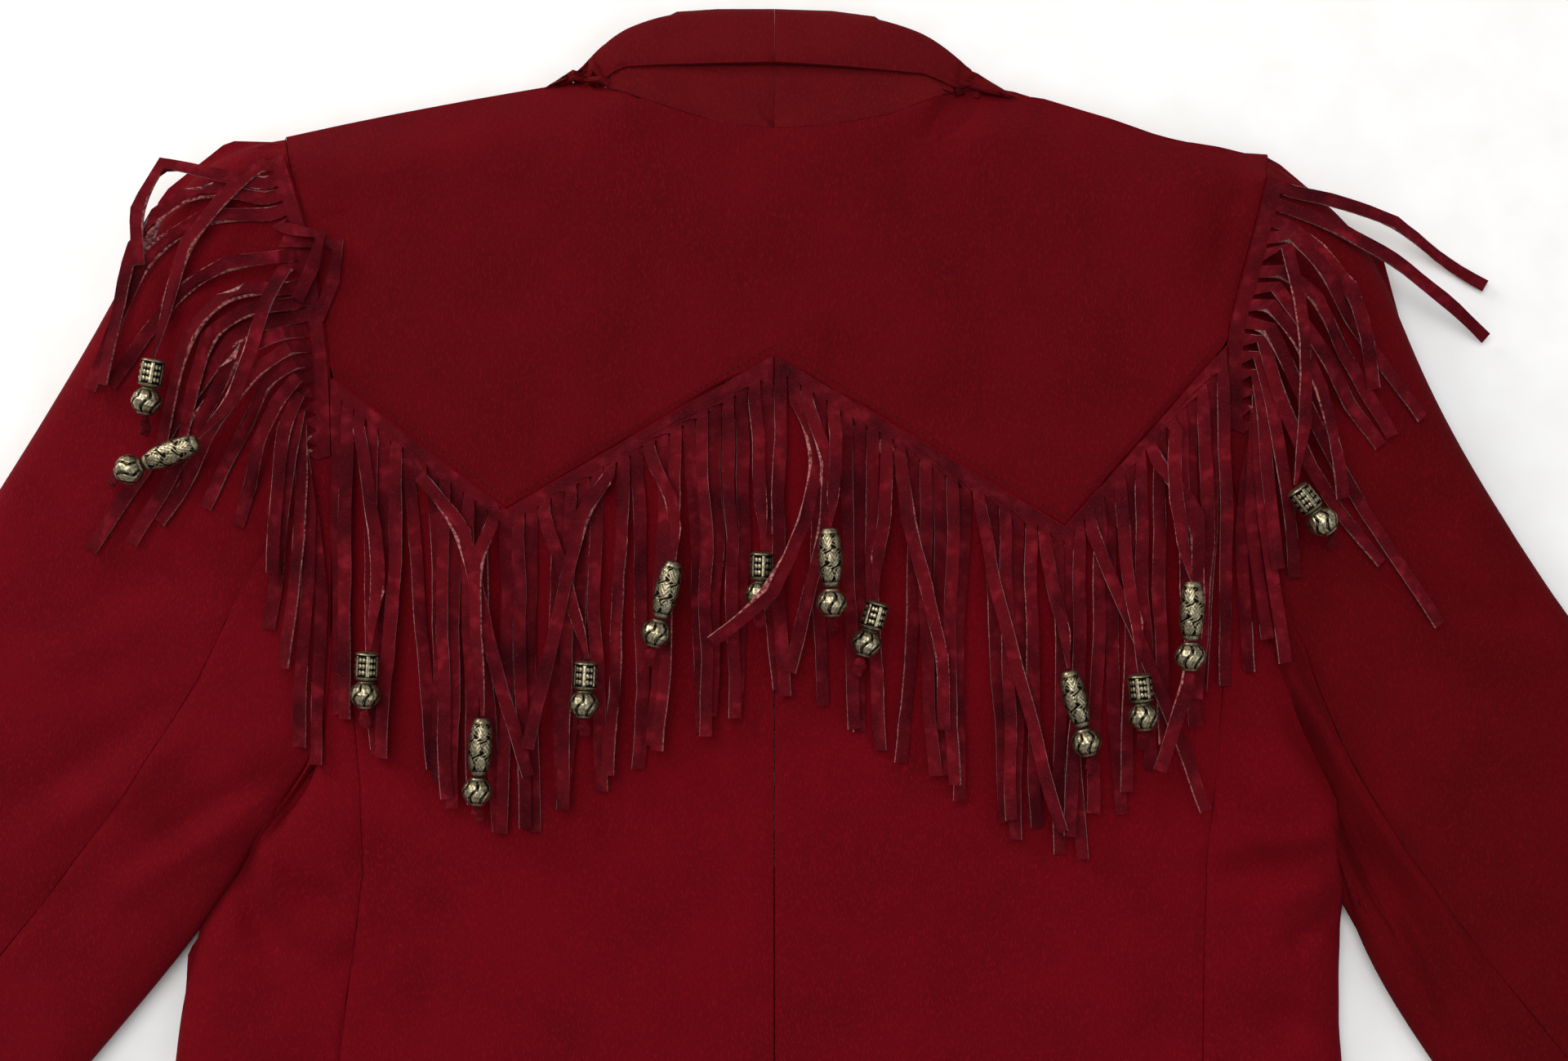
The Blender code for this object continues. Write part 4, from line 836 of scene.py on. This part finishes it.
# %%
button_low, button_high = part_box("button")
radius = (button_high.x - button_low.x) / 2
thick = button_high.z - button_low.z
middle = (button_low + button_high) / 2
BUTTON_PROFILE = [                  # columns: share of the radius, share of the thickness
    (0.0, 0.45), (0.42, 0.45), (0.62, 0.52), (0.74, 0.9), (0.86, 1.0), (0.96, 0.9), (1.0, 0.6),
    (1.0, 0.1), (0.95, 0.0), (0.0, 0.0),
]
BUTTON_SIDES = 64
bm = bmesh.new()
rings = []
for out, high in BUTTON_PROFILE[1:-1]:
    rings.append([bm.verts.new((middle.x + radius * out * math.cos(2 * math.pi * k / BUTTON_SIDES),
                                middle.y + radius * out * math.sin(2 * math.pi * k / BUTTON_SIDES),
                                button_high.z - thick * high))
                  for k in range(BUTTON_SIDES)])
for a, b in zip(rings[:-1], rings[1:]):
    for k in range(BUTTON_SIDES):
        m = (k + 1) % BUTTON_SIDES
        bm.faces.new((a[k], a[m], b[m], b[k]))
bm.faces.new(rings[0])
bm.faces.new(rings[-1])
bmesh.ops.recalc_face_normals(bm, faces=bm.faces)
mesh = bpy.data.meshes.new("front_button")
bm.to_mesh(mesh)
bm.free()
mesh.shade_smooth()
button = bpy.data.objects.new("front_button", mesh)
scene.collection.objects.link(button)
finish_piece(button, ["button"], "button", BUTTON)

# %% [markdown]
# ## Top stitching
# One row of stitches holds the yoke's turned edge. A geometry-nodes group repeats one stitch along
# a line that lies on the cloth.

# %%
STITCH_STEP = 2.6
STITCH_LENGTH = 1.7
STITCH_WIDTH = 0.5
STITCH_INSET = 2.9                  # from the yoke's edge
STITCH_SINK = 0.12                  # how deep a stitch bites into the cloth


def stitch_group():
    """Node group: stitches of one size along a line of edges, as real mesh."""
    group = bpy.data.node_groups.new("stitches", "GeometryNodeTree")
    group.interface.new_socket("Line", in_out="INPUT", socket_type="NodeSocketGeometry")
    for name, value in (("Step", STITCH_STEP), ("Length", STITCH_LENGTH), ("Width", STITCH_WIDTH)):
        socket = group.interface.new_socket(name, in_out="INPUT", socket_type="NodeSocketFloat")
        socket.default_value = value * MM
    group.interface.new_socket("Stitches", in_out="OUTPUT", socket_type="NodeSocketGeometry")
    start = add_node(group, "NodeGroupInput").outputs
    curve = add_node(group, "GeometryNodeMeshToCurve", links={"Mesh": start["Line"]})
    even = add_node(group, "GeometryNodeResampleCurve", {"mode": "LENGTH"},
                    {"Curve": curve.outputs["Curve"], "Length": start["Step"]})
    tangent = add_node(group, "GeometryNodeInputTangent")
    turn = add_node(group, "FunctionNodeAlignRotationToVector", {"axis": "X"},
                    {"Vector": tangent.outputs["Tangent"]})
    bead = add_node(group, "GeometryNodeMeshUVSphere", {"Segments": 8, "Rings": 6, "Radius": 0.5})
    size = add_node(group, "ShaderNodeCombineXYZ",
                    links={"X": start["Length"], "Y": start["Width"], "Z": start["Width"]})
    stitch = add_node(group, "GeometryNodeTransform",
                      links={"Geometry": bead.outputs["Mesh"], "Scale": size.outputs["Vector"]})
    placed = add_node(group, "GeometryNodeInstanceOnPoints",
                      links={"Points": even.outputs["Curve"],
                             "Instance": stitch.outputs["Geometry"],
                             "Rotation": turn.outputs["Rotation"]})
    real = add_node(group, "GeometryNodeRealizeInstances",
                    links={"Geometry": placed.outputs["Instances"]})
    smooth = add_node(group, "GeometryNodeSetShadeSmooth",
                      links={"Geometry": real.outputs["Geometry"]})
    coloured = add_node(group, "GeometryNodeSetMaterial", {"Material": THREAD},
                        {"Geometry": smooth.outputs["Geometry"]})
    add_node(group, "NodeGroupOutput", links={"Stitches": coloured.outputs["Geometry"]})
    return group


def height_over(piece):
    """A function that gives a piece's top at a pattern place, in metres, or None."""
    mesh = piece.data
    tree = BVHTree.FromPolygons([v.co.copy() for v in mesh.vertices],
                                [f.vertices[:] for f in mesh.polygons])

    def height(x, y):
        hit = tree.ray_cast(at(x, y, 200), Vector((0, 0, -1)))[0]
        return hit.z if hit else None
    return height


def stitched(name, lines, piece):
    """Stitches along lines of pattern places, lying on a piece."""
    height = height_over(piece)
    bm = bmesh.new()
    for line in lines:
        previous = None
        for x, y in line:
            z = height(x, y)
            if z is None:
                previous = None
                continue
            place = at(x, y)
            vertex = bm.verts.new((place.x, place.y, z + (STITCH_WIDTH / 2 - STITCH_SINK) * MM))
            if previous:
                bm.edges.new((previous, vertex))
            previous = vertex
    mesh = bpy.data.meshes.new(name)
    bm.to_mesh(mesh)
    bm.free()
    thing = bpy.data.objects.new(name, mesh)
    scene.collection.objects.link(thing)
    modifier = thing.modifiers.new("stitches", "NODES")
    modifier.node_group = stitch_group()
    graph = bpy.context.evaluated_depsgraph_get()
    real = bpy.data.meshes.new_from_object(thing.evaluated_get(graph))
    thing.modifiers.remove(modifier)
    thing.data = real
    real.name = name
    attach(thing, "root")
    return thing


def raised(line, inset):
    """A bent line moved up square to each of its stretches, mitred at its corners."""
    line = [np.array(p, float) for p in line]
    ups = []
    for a, b in zip(line[:-1], line[1:]):
        run = (b - a) / np.linalg.norm(b - a)
        ups.append(np.array([-run[1], run[0]]))
    moved = [line[0] + ups[0] * inset]
    for corner, a, b in zip(line[1:-1], ups[:-1], ups[1:]):
        middle = (a + b) / np.linalg.norm(a + b)
        moved.append(corner + middle * inset / (middle @ a))
    return moved + [line[-1] + ups[-1] * inset]


yoke_stitches = stitched("yoke_stitches", [straight_through(raised(YOKE_LINE, STITCH_INSET), 1.0)],
                         cloth["yoke"])
print(len(yoke_stitches.data.polygons) // 48, "stitches")

# %% [markdown]
# ## Table, light and camera

# %%
TABLE = 4.0
BEHIND = 0.0006
VIEW_DISTANCE = VIEW_WIDTH * MM * LENS / SENSOR
LIGHTS = [                          # columns: name, place, aim, size, power, colour
    ("overhead", (-0.5, 0.9, 2.6), (0, 0.1, 0), 2.0, 46, "#FFFFFF"),
    ("side", (-1.8, 1.7, 0.85), (0, 0.05, 0), 0.8, 34, "#FFF6EE"),
    ("fill", (1.8, -0.8, 1.7), (0, 0.1, 0), 1.6, 9, "#EEF4FF"),
]


def aim(thing, place, target):
    thing.location = place
    thing.rotation_euler = (Vector(target) - Vector(place)).to_track_quat("-Z", "Y").to_euler()


bm = bmesh.new()
bmesh.ops.create_grid(bm, x_segments=8, y_segments=8, size=TABLE / 2)
table_mesh = bpy.data.meshes.new("table")
bm.to_mesh(table_mesh)
bm.free()
table = bpy.data.objects.new("table", table_mesh)
table.location.z = -BEHIND
table_mesh.materials.append(floor_material())
scene.collection.objects.link(table)

for name, place, target, size, power, colour in LIGHTS:
    lamp = bpy.data.lights.new(name, "AREA")
    lamp.size, lamp.energy, lamp.color = size, power, srgb(colour)[:3]
    light = bpy.data.objects.new(name, lamp)
    scene.collection.objects.link(light)
    aim(light, place, target)

world = scene.world or bpy.data.worlds.new("studio")
scene.world = world
world.use_nodes = True
world.node_tree.nodes["Background"].inputs["Color"].default_value = srgb("#FFFFFF")
world.node_tree.nodes["Background"].inputs["Strength"].default_value = 0.4
scene.view_settings.view_transform = "Standard"

centre = at(*VIEW_CENTRE)
camera_data = bpy.data.cameras.new("camera")
camera_data.lens, camera_data.sensor_width, camera_data.sensor_fit = LENS, SENSOR, "HORIZONTAL"
camera = bpy.data.objects.new("camera", camera_data)
camera.location = (centre.x, centre.y, VIEW_DISTANCE + CLOTH_LEVEL * MM)
scene.collection.objects.link(camera)
scene.camera = camera

# %% [markdown]
# ## Sheets
# The cut of each piece in metres, and its area where that isn't a rectangle's. The side panels wrap
# the side folds, and each sleeve half goes part of the way round the arm. A fringe is a slashed
# strip, sewn into the seam of the piece it lies on.

# %%
SHEETS = [                          # columns: piece, cut width, cut length, area
    ("yoke", 0.424, 0.190, 0.0578),
    ("back_left", 0.200, 0.527, 0.0923), ("back_right", 0.200, 0.530, 0.0933),
    ("side_left", 0.200, 0.456, 0.0586), ("side_right", 0.184, 0.466, 0.0539),
    ("front_left", 0.228, 0.650, 0.1080), ("front_right", 0.235, 0.649, 0.1093),
    ("lapel_left", 0.058, 0.325, 0.0144), ("lapel_right", 0.059, 0.326, 0.0145),
    ("collar_left", 0.120, 0.108, 0.0063), ("collar_right", 0.120, 0.113, 0.0064),
    ("top_sleeve_left", 0.280, 0.603, 0.1342), ("top_sleeve_right", 0.270, 0.603, 0.1263),
    ("under_sleeve_left", 0.150, 0.491, 0.0470), ("under_sleeve_right", 0.130, 0.473, 0.0336),
]
HELD = {"fringe_yoke_left": "yoke", "fringe_yoke_right": "yoke",
        "fringe_armhole_left": "top_sleeve_left", "fringe_armhole_right": "top_sleeve_right"}

for name, width, length, area in SHEETS:
    carried = [fringe[strips] for strips, carrier in HELD.items() if carrier == name]
    if name == "yoke":
        carried.append(yoke_stitches)
print(len(SHEETS), "sheets declared")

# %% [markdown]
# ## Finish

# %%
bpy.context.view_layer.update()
